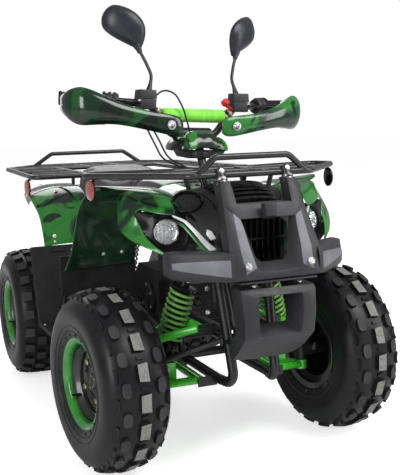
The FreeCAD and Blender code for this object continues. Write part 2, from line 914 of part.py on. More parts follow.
def make_knuckles():
    for side, word in ((LEFT, "left"), (RIGHT, "right")):
        centre = V(0, side * s.kingpin_half, 0)
        post = Part.makeCylinder(s.kingpin_radius, s.knuckle_top_height - s.knuckle_low_height,
                                 centre + V(0, 0, s.knuckle_low_height))
        pin_low = s.knuckle_low_height - s.ball_pin_length
        pins = Part.makeCylinder(s.ball_pin_radius, s.knuckle_top_height + s.ball_pin_length - pin_low,
                                 centre + V(0, 0, pin_low))
        hub_back = s.front_track / 2 + s.front_dish_out - s.hub_length
        axle_end = s.front_track / 2 + s.front_dish_out + s.hub_nose_out / 2
        level = s.front_tyre_radius
        spindle = rod([V(0, side * s.kingpin_half, level), V(0, side * axle_end, level)], s.spindle_radius)
        boss = rod([V(0, side * s.kingpin_half, level), V(0, side * (hub_back - s.seat_gap), level)],
                   s.spindle_boss_radius)
        reach, aside = s.steer_arm_reach, side * s.steer_arm_side
        half = s.steer_arm_width / 2
        arm_low = s.steer_arm_height - s.steer_arm_wall
        arm = prism([centre + V(0, -half, arm_low), centre + V(reach, aside - half, arm_low),
                     centre + V(reach, aside + half, arm_low), centre + V(0, half, arm_low)],
                    V(0, 0, s.steer_arm_wall))
        tip = centre + V(reach, aside, arm_low)
        end = Part.makeCylinder(half, s.steer_arm_wall, tip)
        pin = Part.makeCylinder(s.tie_pin_radius, s.steer_arm_wall + s.tie_eye_length, tip)
        shape = fuse(post, pins, spindle, boss, arm, end, pin)
        part(f"knuckle_{word}", shape, steered_wheel(side))


def pitman_pin(side):
    """Ball pin at the foot of the stem, straight ahead, at the top of its boss."""
    centre, axis = stem_axis()
    foot = centre - axis * s.stem_foot
    forward = V(axis.z, 0, -axis.x)
    return foot + forward * s.steer_arm_reach + V(0, side * s.steer_arm_side, 0)


def make_steering_column():
    """Stem tube with the pitman at its foot and the bar clamp at its head."""
    centre, axis = stem_axis()
    foot = centre - axis * s.stem_foot
    forward = V(axis.z, 0, -axis.x)
    head = V(s.bar_clamp_ahead, 0, s.bar_clamp_height)
    top = centre + axis * ((head - centre).dot(axis))
    stem = rod([foot - axis * s.pitman_wall, top], s.stem_radius)
    tip = forward * s.steer_arm_reach
    wide = s.steer_arm_side
    corners = [foot - forward * s.stem_radius + V(0, -wide, 0), foot + tip + V(0, -wide, 0),
               foot + tip + V(0, wide, 0), foot - forward * s.stem_radius + V(0, wide, 0)]
    plate = prism(corners, axis * -s.pitman_wall)
    bosses = []
    for side in (LEFT, RIGHT):
        pin = pitman_pin(side)
        bosses.append(Part.makeCylinder(s.tie_eye_radius, s.pitman_wall * 2, pin - V(0, 0, s.pitman_wall * 2)))
    clamp = drum(s.bar_radius * 2, s.bar_clamp_half * 1.5, head, V(0, 1, 0))
    bar_way = drum(s.bar_radius, s.bar_clamp_half * 3, head, V(0, 1, 0))
    collar = drum(s.cable_collar_radius, s.cable_collar_wall, centre - axis * s.cable_collar_drop, axis)
    shape = fuse(stem, plate, *bosses, collar, clamp).cut(bar_way)
    part("steering_column", shape, steered_bars())


def make_tie_rods():
    """Track rods between the steering arms and the pitman, drawn straight ahead and then shifted."""
    for side, word in ((LEFT, "left"), (RIGHT, "right")):
        ball = V(s.steer_arm_reach, side * (s.kingpin_half + s.steer_arm_side), s.steer_arm_height + s.seat_gap)
        arm = V(s.steer_arm_reach, side * s.steer_arm_side, 0)
        turned = FreeCAD.Rotation(V(0, 0, 1), s.steer_rest_angle).multVec(arm)
        ball += turned - arm
        pin = pitman_pin(side)
        inner = V(pin.x, pin.y, pin.z + s.tie_end_gap) + turned - arm
        length = s.tie_eye_length - s.seat_gap
        eye = Part.makeCylinder(s.tie_eye_radius, length, ball)
        housing = Part.makeCylinder(s.tie_eye_radius, length, inner)
        lift = V(0, 0, length / 2)
        bar = rod([ball + lift, inner + lift], s.tie_rod_radius)
        hole = Part.makeCylinder(s.tie_pin_radius + s.running_fit, s.cut_overrun * 2, ball - V(0, 0, s.cut_overrun))
        part(f"tie_rod_{word}", fuse(eye, housing, bar).cut(hole), at_axle())


# Frame

def plate_x(points, ahead, wall):
    """A flat plate across the X direction, its outline given as (side, height) points."""
    return prism([V(ahead - wall / 2, side, height) for side, height in points], V(wall, 0, 0))


def arm_brackets(inner_half, inner_height, rail_half):
    """Two plates and a bolt that hold the pivot tube of an arm, left side."""
    pieces = []
    half = s.bracket_width / 2
    for end, outward in ((s.arm_front_ahead, 1), (s.arm_rear_ahead, -1)):
        ahead = end + outward * (s.seat_gap + s.bracket_wall / 2)
        outline = [(rail_half, inner_height - half), (inner_half + half, inner_height - half),
                   (inner_half + half, inner_height + half), (rail_half, inner_height + half)]
        pieces.append(plate_x(outline, ahead, s.bracket_wall))
    reach = s.seat_gap + s.bracket_wall
    pieces.append(rod([V(s.arm_front_ahead + reach, inner_half, inner_height),
                       V(s.arm_rear_ahead - reach, inner_half, inner_height)], s.bracket_bolt_radius))
    return pieces


def shock_bracket(ahead, half, height, from_height):
    """Two plates and a bolt on each side of a shock's eye, left side."""
    pieces = []
    wide = s.bracket_width / 2
    offset = s.shock_eye_length / 2 + s.seat_gap + s.bracket_wall / 2
    low, top = sorted((height, from_height))
    if from_height > height:
        low -= wide
    else:
        top += wide
    for way in (1, -1):
        outline = [(half - wide, low), (half + wide, low), (half + wide, top), (half - wide, top)]
        pieces.append(plate_x(outline, ahead + way * offset, s.bracket_wall))
    reach = offset + s.bracket_wall / 2
    pieces.append(rod([V(ahead - reach, half, height), V(ahead + reach, half, height)], s.bracket_bolt_radius))
    return pieces


def high_rail_at(ahead):
    """Side and height of the upper rail over a point of its sloping front stretch."""
    along = (s.high_rail_front_ahead - ahead) / (s.high_rail_front_ahead - s.high_rail_mid_ahead)
    half = s.high_rail_front_half + along * (s.high_rail_half - s.high_rail_front_half)
    height = s.high_rail_front_height + along * (s.high_rail_height - s.high_rail_front_height)
    return half, height


def bumper_back(height):
    """How far ahead a strut may reach behind the bumper's band at one height."""
    upper = s.bumper_nose_ahead - s.bumper_depth * 1.2
    lower = s.bumper_low_ahead - s.bumper_depth
    share = (height - s.bumper_low_height) / (s.bumper_band_height - s.bumper_low_height)
    slope = (upper - lower) / (s.bumper_band_height - s.bumper_low_height)
    return lower + share * (upper - lower) - abs(slope) * s.bumper_strut_radius - s.seat_gap


def skid_back(height):
    """How far ahead a strut may reach behind the sloping lower guard at one height."""
    top, low = s.skid_top_ahead - s.skid_depth, s.skid_low_ahead - s.skid_depth
    slope = (top - low) / (s.bumper_low_height - s.skid_low_height)
    return low + (height - s.skid_low_height) * slope - slope * s.bumper_strut_radius - s.seat_gap


def make_frame():
    """Two lower and two upper rails joined by uprights and cross tubes, with brackets and foot pegs."""
    r = s.frame_tube_radius
    centre, axis = stem_axis()
    low = [V(s.high_rail_front_ahead, s.high_rail_front_half, s.high_rail_front_height),
           V(s.low_rail_front_ahead, s.low_rail_front_half, s.low_rail_height),
           V(s.low_rail_waist_ahead, s.low_rail_waist_half, s.low_rail_height),
           V(s.low_rail_mid_ahead, s.low_rail_waist_half, s.low_rail_height),
           V(s.low_rail_wide_ahead, s.low_rail_half, s.low_rail_height),
           V(s.swing_pivot_ahead - s.frame_bend, s.low_rail_half, s.low_rail_height),
           V(s.low_rail_end_ahead, s.low_rail_half, s.low_rail_end_height),
           V(s.low_rail_end_ahead, s.high_rail_half, s.high_rail_height)]
    high = [V(s.high_rail_front_ahead, s.high_rail_front_half, s.high_rail_front_height),
            V(s.high_rail_mid_ahead, s.high_rail_half, s.high_rail_height),
            V(s.high_rail_rear_ahead, s.high_rail_half, s.high_rail_height)]
    side = [rod(low, r, s.frame_bend), rod(high, r, s.frame_bend)]
    post_half, post_height = high_rail_at(s.rear_post_low_ahead)
    side.append(rod([V(s.rear_post_low_ahead, s.low_rail_waist_half, s.low_rail_height),
                     V(s.rear_post_low_ahead, post_half, post_height)], r))
    slope = (s.mid_tube_height - s.low_rail_height) / (s.high_rail_front_height - s.low_rail_height)
    front = s.low_rail_front_ahead + slope * (s.high_rail_front_ahead - s.low_rail_front_ahead)
    side.append(rod([V(front, s.low_rail_waist_half - r / 2, s.mid_tube_height),
                     V(s.rear_post_low_ahead, s.low_rail_waist_half + r / 2, s.mid_tube_height)], r))
    side += arm_brackets(s.low_arm_inner_half, s.low_arm_inner_height, s.low_rail_waist_half)
    side += arm_brackets(s.high_arm_inner_half, s.high_arm_inner_height, s.low_rail_waist_half)
    rail_half, rail_height = high_rail_at(s.shock_ahead)
    side += shock_bracket(s.shock_ahead, s.shock_top_half, s.shock_top_height, rail_height + r)
    brace = s.shock_eye_length / 2 + s.seat_gap + s.bracket_wall
    side.append(plate_x([(rail_half, rail_height), (s.shock_top_half + s.bracket_width / 2, rail_height),
                         (s.shock_top_half + s.bracket_width / 2, rail_height + r), (rail_half, rail_height + r)],
                        s.shock_ahead, 2 * brace))
    peg_root = s.low_rail_half
    side.append(rod([V(s.peg_ahead, peg_root, s.low_rail_height), V(s.peg_ahead, s.peg_half, s.peg_height)],
                    s.peg_radius))
    plate_low, plate_top = s.low_rail_height, s.swing_pivot_height + s.bracket_width
    wide = s.bracket_width
    side.append(prism([V(s.swing_pivot_ahead - wide, s.swing_plate_half - s.swing_plate_wall / 2, plate_low),
                       V(s.swing_pivot_ahead + wide, s.swing_plate_half - s.swing_plate_wall / 2, plate_low),
                       V(s.swing_pivot_ahead + wide, s.swing_plate_half - s.swing_plate_wall / 2, plate_top),
                       V(s.swing_pivot_ahead - wide, s.swing_plate_half - s.swing_plate_wall / 2, plate_top)],
                      V(0, s.swing_plate_wall, 0)))
    for height, back in ((s.bumper_strut_height, bumper_back(s.bumper_strut_height)),
                         (s.skid_strut_height, skid_back(s.skid_strut_height))):
        share = (height - s.low_rail_height) / (s.high_rail_front_height - s.low_rail_height)
        root = s.low_rail_front_ahead + share * (s.high_rail_front_ahead - s.low_rail_front_ahead)
        side.append(rod([V(root, s.bumper_strut_half, height), V(back, s.bumper_strut_half, height)],
                        s.bumper_strut_radius))
    one_side = fuse(*side)
    pieces = [one_side, one_side.mirror(V(0, 0, 0), V(0, 1, 0))]

    def cross(ahead, height, half):
        pieces.append(rod([V(ahead, -half, height), V(ahead, half, height)], r))

    low_bush = centre - axis * s.low_bush_drop
    high_bush = centre - axis * s.high_bush_drop
    cross(s.low_rail_waist_ahead, s.low_rail_height, s.low_rail_waist_half)
    cross(s.rear_post_low_ahead, s.low_rail_height, s.low_rail_waist_half)
    cross(s.engine_cross_front_ahead, s.low_rail_height, s.low_rail_half)
    cross(s.engine_cross_rear_ahead, s.low_rail_height, s.low_rail_half)
    cross(s.high_rail_front_ahead, s.high_rail_front_height, s.high_rail_front_half)
    cross(s.high_rail_mid_ahead, s.high_rail_height, s.high_rail_half)
    cross(s.low_rail_end_ahead, s.high_rail_height, s.high_rail_half)
    cross(s.high_rail_rear_ahead + r, s.high_rail_height, s.high_rail_half)
    cross(s.rear_shock_top_ahead, s.high_rail_height, s.high_rail_half)
    cross(low_bush.x - s.bush_radius - r / 2, low_bush.z, s.low_rail_waist_half)
    strut = high_bush.x - s.bush_radius - r / 2
    strut_half, strut_height = high_rail_at(strut)
    pieces.append(rod([V(strut, -strut_half, strut_height), V(strut, -s.bush_radius, high_bush.z),
                       V(strut, s.bush_radius, high_bush.z), V(strut, strut_half, strut_height)], r, 2 * r))
    for bush in (low_bush, high_bush):
        pieces.append(drum(s.bush_radius, s.bush_length, bush, axis))
    pieces.append(rod([V(s.swing_pivot_ahead, -s.swing_plate_half, s.swing_pivot_height),
                       V(s.swing_pivot_ahead, s.swing_plate_half, s.swing_pivot_height)], s.swing_bolt_radius))
    shape = fuse(*pieces)
    stem_way = Part.makeCylinder(s.stem_radius + s.running_fit, s.stem_foot + s.cut_overrun,
                                 centre - axis * s.stem_foot, axis)
    part("frame", shape.cut(stem_way), at_axle())


# Engine and drive

# Corners of one tooth along its pitch, with 1 on the tip and 0 in the gap.
TOOTH_SHARES = ((0.0, 0), (0.28, 0), (0.5, 1), (0.78, 1))
# Straight pieces in the chain's bend round each sprocket.
WRAP_STEPS = 12


def make_engine():
    """Crankcase resting on two cross tubes, with a finned cylinder that lies forward."""
    base = "low_rail_height + frame_tube_radius + seat_gap"
    case = new_body("engine")
    outline = [
        ("engine_rear_ahead", "engine_top_height - engine_chamfer"),
        ("engine_rear_ahead", base),
        ("engine_front_ahead", base),
        ("engine_front_ahead", "engine_top_height"),
        ("engine_rear_ahead + engine_chamfer", "engine_top_height"),
    ]
    pad(case, "XZ", outline, "engine_half * 2", both=True)

    def block(half, start, length):
        low, top = f"cylinder_height - {half}", f"cylinder_height + {half}"
        corners = [(f"0 - {half}", low), (half, low), (half, top), (f"0 - {half}", top)]
        pad(case, "YZ", corners, length, offset=start)

    block("cylinder_barrel_half", "engine_front_ahead", "cylinder_length")
    block("cylinder_half", "engine_front_ahead + cylinder_length - cylinder_head_length", "cylinder_head_length")
    for fin in range(int(s.fin_count)):
        share = (fin + 1) / (s.fin_count + 1)
        block("cylinder_half", f"engine_front_ahead + (cylinder_length - cylinder_head_length) * {share}",
              "fin_wall")
    sprocket = []
    for angle, high in tooth_tips(int(s.drive_teeth_count)):
        reach = f"(drive_sprocket_radius - {1 - high} * tooth_depth)"
        sprocket.append((f"drive_sprocket_ahead + {reach} * {round(math.cos(angle), 6)}",
                         f"drive_sprocket_height + {reach} * {round(math.sin(angle), 6)}"))
    pad(case, "XZ", sprocket, "sprocket_wall", offset="0 - sprocket_half - sprocket_wall / 2")
    boss = "drive_sprocket_radius - 2 * tooth_depth"
    corners = [(f"drive_sprocket_ahead + {across} * ({boss})", f"drive_sprocket_height + {up} * ({boss})")
               for across, up in ((1, -0.5), (1, 0.5), (0.5, 1), (-0.5, 1), (-1, 0.5), (-1, -0.5), (-0.5, -1), (0.5, -1))]
    pad(case, "XZ", corners, "sprocket_half - engine_half", offset="0 - sprocket_half")
    keep(case, "engine", at_axle())


def make_exhaust():
    """Header pipe from the cylinder's underside along the right side to the muffler."""
    half = -s.exhaust_half
    head = s.engine_front_ahead + s.cylinder_length - s.cylinder_head_length / 2
    low = s.cylinder_height - s.cylinder_half
    route = [V(head, 0, low - s.seat_gap),
             V(head, 0, low - s.exhaust_radius * 2.6),
             V(head - s.exhaust_radius * 4, half * 1.15, low - s.exhaust_radius * 2.6),
             V(s.engine_rear_ahead, half * 1.1, low),
             V(s.low_rail_end_ahead, half, s.muffler_height - s.exhaust_radius),
             V(s.muffler_rear_ahead + s.muffler_length + s.exhaust_radius, -s.muffler_half, s.muffler_height),
             V(s.muffler_rear_ahead + s.muffler_length - s.exhaust_radius, -s.muffler_half, s.muffler_height)]
    pipe = rod(route, s.exhaust_radius, s.frame_bend / 2)
    can = rod([V(s.muffler_rear_ahead, -s.muffler_half, s.muffler_height),
               V(s.muffler_rear_ahead + s.muffler_length, -s.muffler_half, s.muffler_height)], s.muffler_radius)
    part("exhaust", fuse(pipe, can), at_axle())


def make_swingarm():
    """Pivot tube, two arms and the axle's bearing housing."""
    pivot = V(s.swing_pivot_ahead, 0, s.swing_pivot_height)
    axle = V(-s.wheelbase, 0, s.rear_tyre_radius)
    tube = drum(s.swing_pivot_radius, 2 * s.swing_pivot_half, pivot, V(0, 1, 0))
    housing = drum(s.axle_housing_radius, 2 * s.axle_housing_half, axle, V(0, 1, 0))
    arms = []
    for side in (LEFT, RIGHT):
        aside = V(0, side * s.swing_half, 0)
        arms.append(rod([pivot + aside, axle + aside], s.swing_tube_radius))
    low_eye = V(s.rear_shock_low_ahead, 0, s.rear_shock_low_height)
    bridge = drum(s.swing_tube_radius, 2 * s.swing_half,
                  V(low_eye.x, 0, low_eye.z - s.shock_eye_radius - s.swing_tube_radius - s.seat_gap), V(0, 1, 0))
    shape = fuse(tube, housing, bridge, *arms)
    bores = [drum(s.swing_bolt_radius + s.seat_gap, 4 * s.swing_pivot_half, pivot, V(0, 1, 0)),
             drum(s.axle_radius + s.running_fit, 4 * s.axle_housing_half, axle, V(0, 1, 0))]
    part("swingarm", shape.cut(bores), at_axle())


def make_rear_shock():
    top = V(s.rear_shock_top_ahead, 0,
            s.high_rail_height - s.frame_tube_radius - s.shock_eye_radius - s.seat_gap)
    low = V(s.rear_shock_low_ahead, 0, s.rear_shock_low_height)
    damper, span = shock(top, low)
    spring = coil(span, s.spring_radius, s.spring_wire_radius, s.spring_pitch)
    part("rear_shock", Part.makeCompound([damper, spring]), at_axle())


def tooth_tips(count):
    """Angle of each corner of a toothed outline and 1 on a tip or 0 in a gap."""
    step = 2 * math.pi / count
    corners = []
    for tooth in range(count):
        for along, high in TOOTH_SHARES:
            corners.append(((tooth + along) * step, high))
    return corners


def make_rear_axle():
    """Axle with the sprocket's and the brake disc's carriers, turning with both rear wheels."""
    reach = s.rear_track / 2 + s.rear_dish_out + s.hub_nose_out / 2
    shaft = drum(s.axle_radius, 2 * reach, V(0, 0, 0), V(0, 1, 0))
    pieces = [shaft]
    teeth = []
    for angle, high in tooth_tips(int(s.sprocket_teeth_count)):
        reach = s.sprocket_radius - (1 - high) * s.tooth_depth
        teeth.append(V(reach * math.cos(angle), s.sprocket_half - s.sprocket_wall / 2, reach * math.sin(angle)))
    pieces.append(prism(teeth, V(0, s.sprocket_wall, 0)))
    pieces.append(drum(s.disc_radius, s.disc_wall, V(0, -s.disc_half, 0), V(0, 1, 0)))
    for half in (s.sprocket_half, -s.disc_half):
        pieces.append(drum(s.disc_hub_radius, s.hub_length / 2, V(0, half + math.copysign(s.hub_length / 8, half), 0),
                           V(0, 1, 0)))
    part("rear_axle", fuse(*pieces), wheel_place(-s.wheelbase, 0, s.rear_tyre_radius))


def make_chain():
    """Drive chain as a closed band round the two sprockets."""
    front = V(s.drive_sprocket_ahead, 0, s.drive_sprocket_height)
    rear = V(-s.wheelbase, 0, s.rear_tyre_radius)

    def band(front_radius, rear_radius):
        line = front - rear
        tilt = math.atan2(line.z, line.x)
        lean = math.asin((rear_radius - front_radius) / line.Length)
        points = []
        for middle, radius, start, stop in (
                (front, front_radius, lean - math.pi / 2, math.pi / 2 - lean),
                (rear, rear_radius, math.pi / 2 - lean, 3 * math.pi / 2 + lean)):
            corner = radius / math.cos((stop - start) / WRAP_STEPS / 2)
            for step in range(WRAP_STEPS + 1):
                angle = tilt + start + (stop - start) * step / WRAP_STEPS
                points.append(middle + V(corner * math.cos(angle), 0, corner * math.sin(angle)))
        return [point + V(0, s.sprocket_half - s.chain_half_wall, 0) for point in points]

    clear = s.seat_gap * 2
    outer = prism(band(s.drive_sprocket_radius + clear + s.chain_depth, s.sprocket_radius + clear + s.chain_depth),
                  V(0, 2 * s.chain_half_wall, 0))
    inner = prism(band(s.drive_sprocket_radius + clear, s.sprocket_radius + clear), V(0, 2 * s.chain_half_wall, 0))
    part("chain", outer.cut(inner), at_axle())


# Racks

# Along the open side of the rear rack, from its front bar to the bar behind the seat.
SIDE_SLAT_SHARES = (0.33, 0.66)


def make_front_rack():
    """Outer rail round the rack with a raised front rail, cross and length slats and two posts."""
    height = s.front_rack_height
    r = s.rack_tube_radius
    outer = [V(s.front_rack_waist_ahead, 0, height),
             V(s.front_rack_waist_ahead, s.front_rack_waist_half, height),
             V(s.front_rack_rear_ahead, s.front_rack_half - s.rack_bend, height),
             V(s.front_rack_corner_ahead, s.front_rack_half, height),
             V(s.front_rack_front_ahead, s.front_rack_front_half, height),
             V(s.front_rack_front_ahead, 0, height)]
    half_ring = rod(outer, r, s.rack_bend)
    raised = rod([V(s.front_rack_front_ahead, s.front_rail_foot_half, height),
                  V(s.front_rack_front_ahead, s.front_rail_top_half, height + s.front_rail_rise),
                  V(s.front_rack_front_ahead, 0, height + s.front_rail_rise)], r, s.rack_bend)
    slats = [rod([V(s.front_rack_waist_ahead, s.rack_slat_half, height),
                  V(s.front_rack_front_ahead, s.rack_slat_half, height)], s.rack_slat_radius)]
    post_half, post_foot = high_rail_at(s.front_post_ahead)
    post_foot += s.frame_tube_radius * 1.1
    post = rod([V(s.front_post_ahead, s.front_post_half, height),
                V(s.front_post_ahead, post_half, post_foot + s.rack_bend),
                V(s.front_post_ahead, post_half, post_foot)], s.rack_slat_radius, s.rack_bend)
    one_side = fuse(half_ring, raised, *slats, post)
    shape = fuse(one_side, one_side.mirror(V(0, 0, 0), V(0, 1, 0)))
    bars = []
    for ahead, half in ((s.front_post_ahead, s.front_rack_half * 0.78),
                        (s.front_post_ahead * 2.2, s.front_rack_half * 0.6)):
        bars.append(rod([V(ahead, -half, height), V(ahead, half, height)], s.rack_slat_radius))
    part("front_rack", fuse(shape, *bars), at_axle())


def both_ways(points):
    """A route from its left end over the middle plane to its mirror image."""
    return points + [V(point.x, -point.y, point.z) for point in reversed(points)]


def make_rear_rack():
    """Outer rail along both sides of the seat and round the back, with a raised rear rail."""
    height = s.high_rail_height + s.rear_rack_rise
    r = s.rack_tube_radius
    ring = rod(both_ways([V(s.rear_rack_cross_ahead + s.rack_slat_radius, s.rear_rack_inner_half, height),
                          V(s.rear_rack_front_ahead, s.rear_rack_inner_half, height),
                          V(s.rear_rack_front_ahead, s.rear_rack_half, height),
                          V(s.rear_rack_mid_ahead, s.rear_rack_mid_half, height),
                          V(s.rear_rack_rear_ahead, s.rear_rack_rear_half, height)]), r, s.rack_bend)
    raised = rod(both_ways([V(s.rear_rack_rear_ahead, s.rear_rail_foot_half, height),
                            V(s.rear_rack_rear_ahead, s.rear_rail_top_half, height + s.rear_rail_rise)]),
                 r, s.rack_bend)
    pieces = [ring, raised]
    for ahead in (s.rear_rack_cross_ahead, s.rear_post_ahead):
        pieces.append(rod(both_ways([V(ahead, s.rear_rack_mid_half, height)]), s.rack_slat_radius))
    length = s.rear_rack_cross_ahead - s.rear_rack_front_ahead
    for side in (LEFT, RIGHT):
        slat_half = side * s.rack_slat_half
        pieces.append(rod([V(s.rear_rack_cross_ahead, slat_half, height), V(s.rear_rack_rear_ahead, slat_half, height)],
                          s.rack_slat_radius))
        for share in SIDE_SLAT_SHARES:
            ahead = s.rear_rack_front_ahead + share * length
            pieces.append(rod([V(ahead, side * s.rear_rack_inner_half, height),
                               V(ahead, side * s.rear_rack_mid_half, height)], s.rack_slat_radius))
        post = side * s.high_rail_half
        pieces.append(rod([V(s.rear_post_ahead, post, height), V(s.rear_post_ahead, post, rail_top())],
                          s.rack_slat_radius))
    part("rear_rack", fuse(*pieces), at_axle())


# Handlebar group

def bar_points(side):
    return [V(s.bar_clamp_ahead, 0, s.bar_clamp_height),
            V(s.bar_clamp_ahead, side * s.bar_clamp_half, s.bar_clamp_height),
            V(s.bar_clamp_ahead, side * s.bar_rise_half, s.bar_rise_height),
            V(s.bar_end_ahead, side * s.bar_end_half, s.bar_end_height)]


def along_bar(distance_from_end, side):
    """A point on the bar's straight outer run and the run's direction outwards."""
    rise, end = bar_points(side)[2:]
    outward = (end - rise).normalize()
    return end - outward * distance_from_end, outward


def bar_route():
    """The whole bar from the right end to the left one."""
    return bar_points(RIGHT)[:0:-1] + bar_points(LEFT)[1:]


def make_handlebar():
    """Bent bar with its crossbar, and the pad, grips and levers on it."""
    bar = rod(bar_route(), s.bar_radius, s.bar_bend)
    crossbar = rod([V(s.bar_clamp_ahead, -s.crossbar_half, s.crossbar_height),
                    V(s.bar_clamp_ahead, s.crossbar_half, s.crossbar_height)], s.crossbar_radius)
    stubs = []
    rise = (s.bar_rise_height + s.bar_clamp_height) / 2
    for side in (LEFT, RIGHT):
        half = side * (s.bar_clamp_half + s.bar_rise_half) / 2
        reach = s.guard_front_ahead - s.guard_wall * 2
        stubs.append(rod([V(s.bar_clamp_ahead, half, rise), V(reach - s.seat_gap, half, rise)], s.guard_stub_radius))
    part("handlebar", fuse(bar, crossbar, *stubs), steered_bars())
    pad_body = drum(s.pad_radius, 2 * s.pad_half, V(s.bar_clamp_ahead, 0, s.crossbar_height), V(0, 1, 0))
    hole = drum(s.crossbar_radius + s.seat_gap, 4 * s.pad_half, V(s.bar_clamp_ahead, 0, s.crossbar_height),
                V(0, 1, 0))
    part("crossbar_pad", pad_body.cut(hole), steered_bars())
    end, outward = along_bar(0, LEFT)
    root = end - outward * s.grip_length
    sleeve = rod([root, end + outward * s.bar_radius / 2], s.grip_radius)
    hole = rod([root - outward * s.cut_overrun, end + outward * s.seat_gap], s.bar_radius + s.seat_gap)
    part("grips", both_sides(sleeve.cut(hole)), steered_bars())
    inner = root - outward * (s.switch_length + s.seat_gap)
    box = rod([inner, root - outward * s.seat_gap], s.switch_radius)
    pivot = inner + outward * s.switch_length / 2 + V(s.switch_radius + s.lever_radius, 0, 0)
    lever = rod([pivot - V(s.lever_radius * 2, 0, 0), pivot + V(s.lever_gap / 2, s.lever_gap / 2, 0),
                 pivot + V(s.lever_gap / 4, s.lever_length, 0)], s.lever_radius, s.lever_gap / 4)
    hole = rod([inner - outward * s.cut_overrun, root + outward * s.cut_overrun], s.bar_radius + s.seat_gap)
    perch = Part.makeBox(s.perch_deep, s.perch_length, s.perch_drop + s.perch_rise,
                         V(s.bar_clamp_ahead - s.perch_deep / 2, s.perch_half - s.perch_length / 2,
                           s.bar_rise_height - s.perch_drop))
    perch = perch.cut(rod(bar_route(), s.bar_radius + s.seat_gap, s.bar_bend))
    part("levers", both_sides(Part.makeCompound([fuse(box, lever).cut(hole), perch])), steered_bars())


def make_handguards():
    """Curved shields in front of the levers, open to the rear, as shares of their reach and height."""
    stations_shares = ((0.0, 0.22, 0.10, 0.42, 0.95), (0.35, 0.22, 0.05, 0.62, 1.0), (0.7, 0.62, 0.0, 0.92, 0.9),
                       (0.9, 0.75, 0.0, 1.0, 0.7), (1.0, 0.4, 0.2, 0.8, 0.3))
    reach = s.guard_outer_half - s.guard_inner_half
    tall = s.guard_top_height - s.guard_low_height
    sections = []
    for along, depth, low, top, front in stations_shares:
        side = s.guard_inner_half + along * reach
        face_x = s.guard_rear_ahead + front * (s.guard_front_ahead - s.guard_rear_ahead)
        back_x = face_x - depth * (s.guard_front_ahead - s.guard_rear_ahead)
        low_z = s.guard_low_height + low * tall
        top_z = s.guard_low_height + top * tall
        w = s.guard_wall
        sections.append([V(back_x, side, top_z), V(face_x, side, top_z - w), V(face_x, side, low_z + w),
                         V(back_x, side, low_z), V(back_x, side, low_z + w), V(face_x - w, side, low_z + 2 * w),
                         V(face_x - w, side, top_z - 2 * w), V(back_x, side, top_z - w)])
    part("handguards", both_sides(loft(sections)), steered_bars())


def make_mirrors():
    """Oval heads on thin bent stalks that rise from the bar."""
    base = V(s.stem_pivot_ahead, s.stalk_base_half, s.bar_rise_height + s.perch_rise + s.stalk_radius / 2 + s.seat_gap)
    route = [base, V(s.stalk_bend_ahead, s.stalk_bend_half, s.stalk_bend_height),
             V(s.mirror_foot_ahead, s.mirror_foot_half, s.mirror_foot_height),
             V(s.mirror_ahead, s.mirror_half, s.mirror_height)]
    stalk = rod(route, s.stalk_radius, s.stalk_radius * 6)
    head = Part.makeSphere(s.mirror_tall)
    matrix = FreeCAD.Matrix()
    matrix.scale(s.mirror_deep / s.mirror_tall, s.mirror_wide / s.mirror_tall, 1)
    head = head.transformGeometry(matrix)
    block = Part.makeBox(s.mirror_tall * 2, s.mirror_tall * 4, s.mirror_tall * 4,
                         V(-s.mirror_tall * 2, -s.mirror_tall * 2, -s.mirror_tall * 2))
    head = head.cut(block)
    head.Placement = FreeCAD.Placement(route[-1] - V(s.stalk_radius, 0, 0),
                                       FreeCAD.Rotation(V(1, 0, 0), -s.mirror_tilt_angle))
    part("mirrors", both_sides(fuse(stalk, head)), steered_bars())


def make_dash_pod():
    """Housing of the display over the stem, its top smaller than its base."""
    centre, axis = stem_axis()
    front, rear, half = s.pod_front_ahead, s.pod_rear_ahead, s.pod_half
    outline_shares = ((0.0, 0.55), (0.35, 1.0), (0.8, 0.9), (1.0, 0.45))
    sections = []
    for rise, grow in ((0.0, 0.7), (0.35, 1.0), (0.8, 0.85), (1.0, 0.55)):
        height = s.pod_low_height + rise * (s.pod_top_height - s.pod_low_height)
        middle = (front + rear) / 2
        points = []
        for along, wide in outline_shares:
            points.append(V(middle + grow * (rear + along * (front - rear) - middle), -wide * half * grow, height))
        for along, wide in reversed(outline_shares):
            points.append(V(middle + grow * (rear + along * (front - rear) - middle), wide * half * grow, height))
        sections.append(points)
    shape = loft(sections)
    stem_way = Part.makeCylinder(s.stem_radius + s.seat_gap, s.stem_foot, centre - axis * s.stem_foot, axis)
    clamp_way = drum(s.bar_radius * 2 + s.seat_gap, s.bar_clamp_half * 1.5 + 2 * s.seat_gap,
                     V(s.bar_clamp_ahead, 0, s.bar_clamp_height), V(0, 1, 0))
    bar_way = rod(bar_route(), s.bar_radius + s.seat_gap, s.bar_bend)
    part("dash_pod", shape.cut([stem_way, clamp_way, bar_way]), steered_bars())


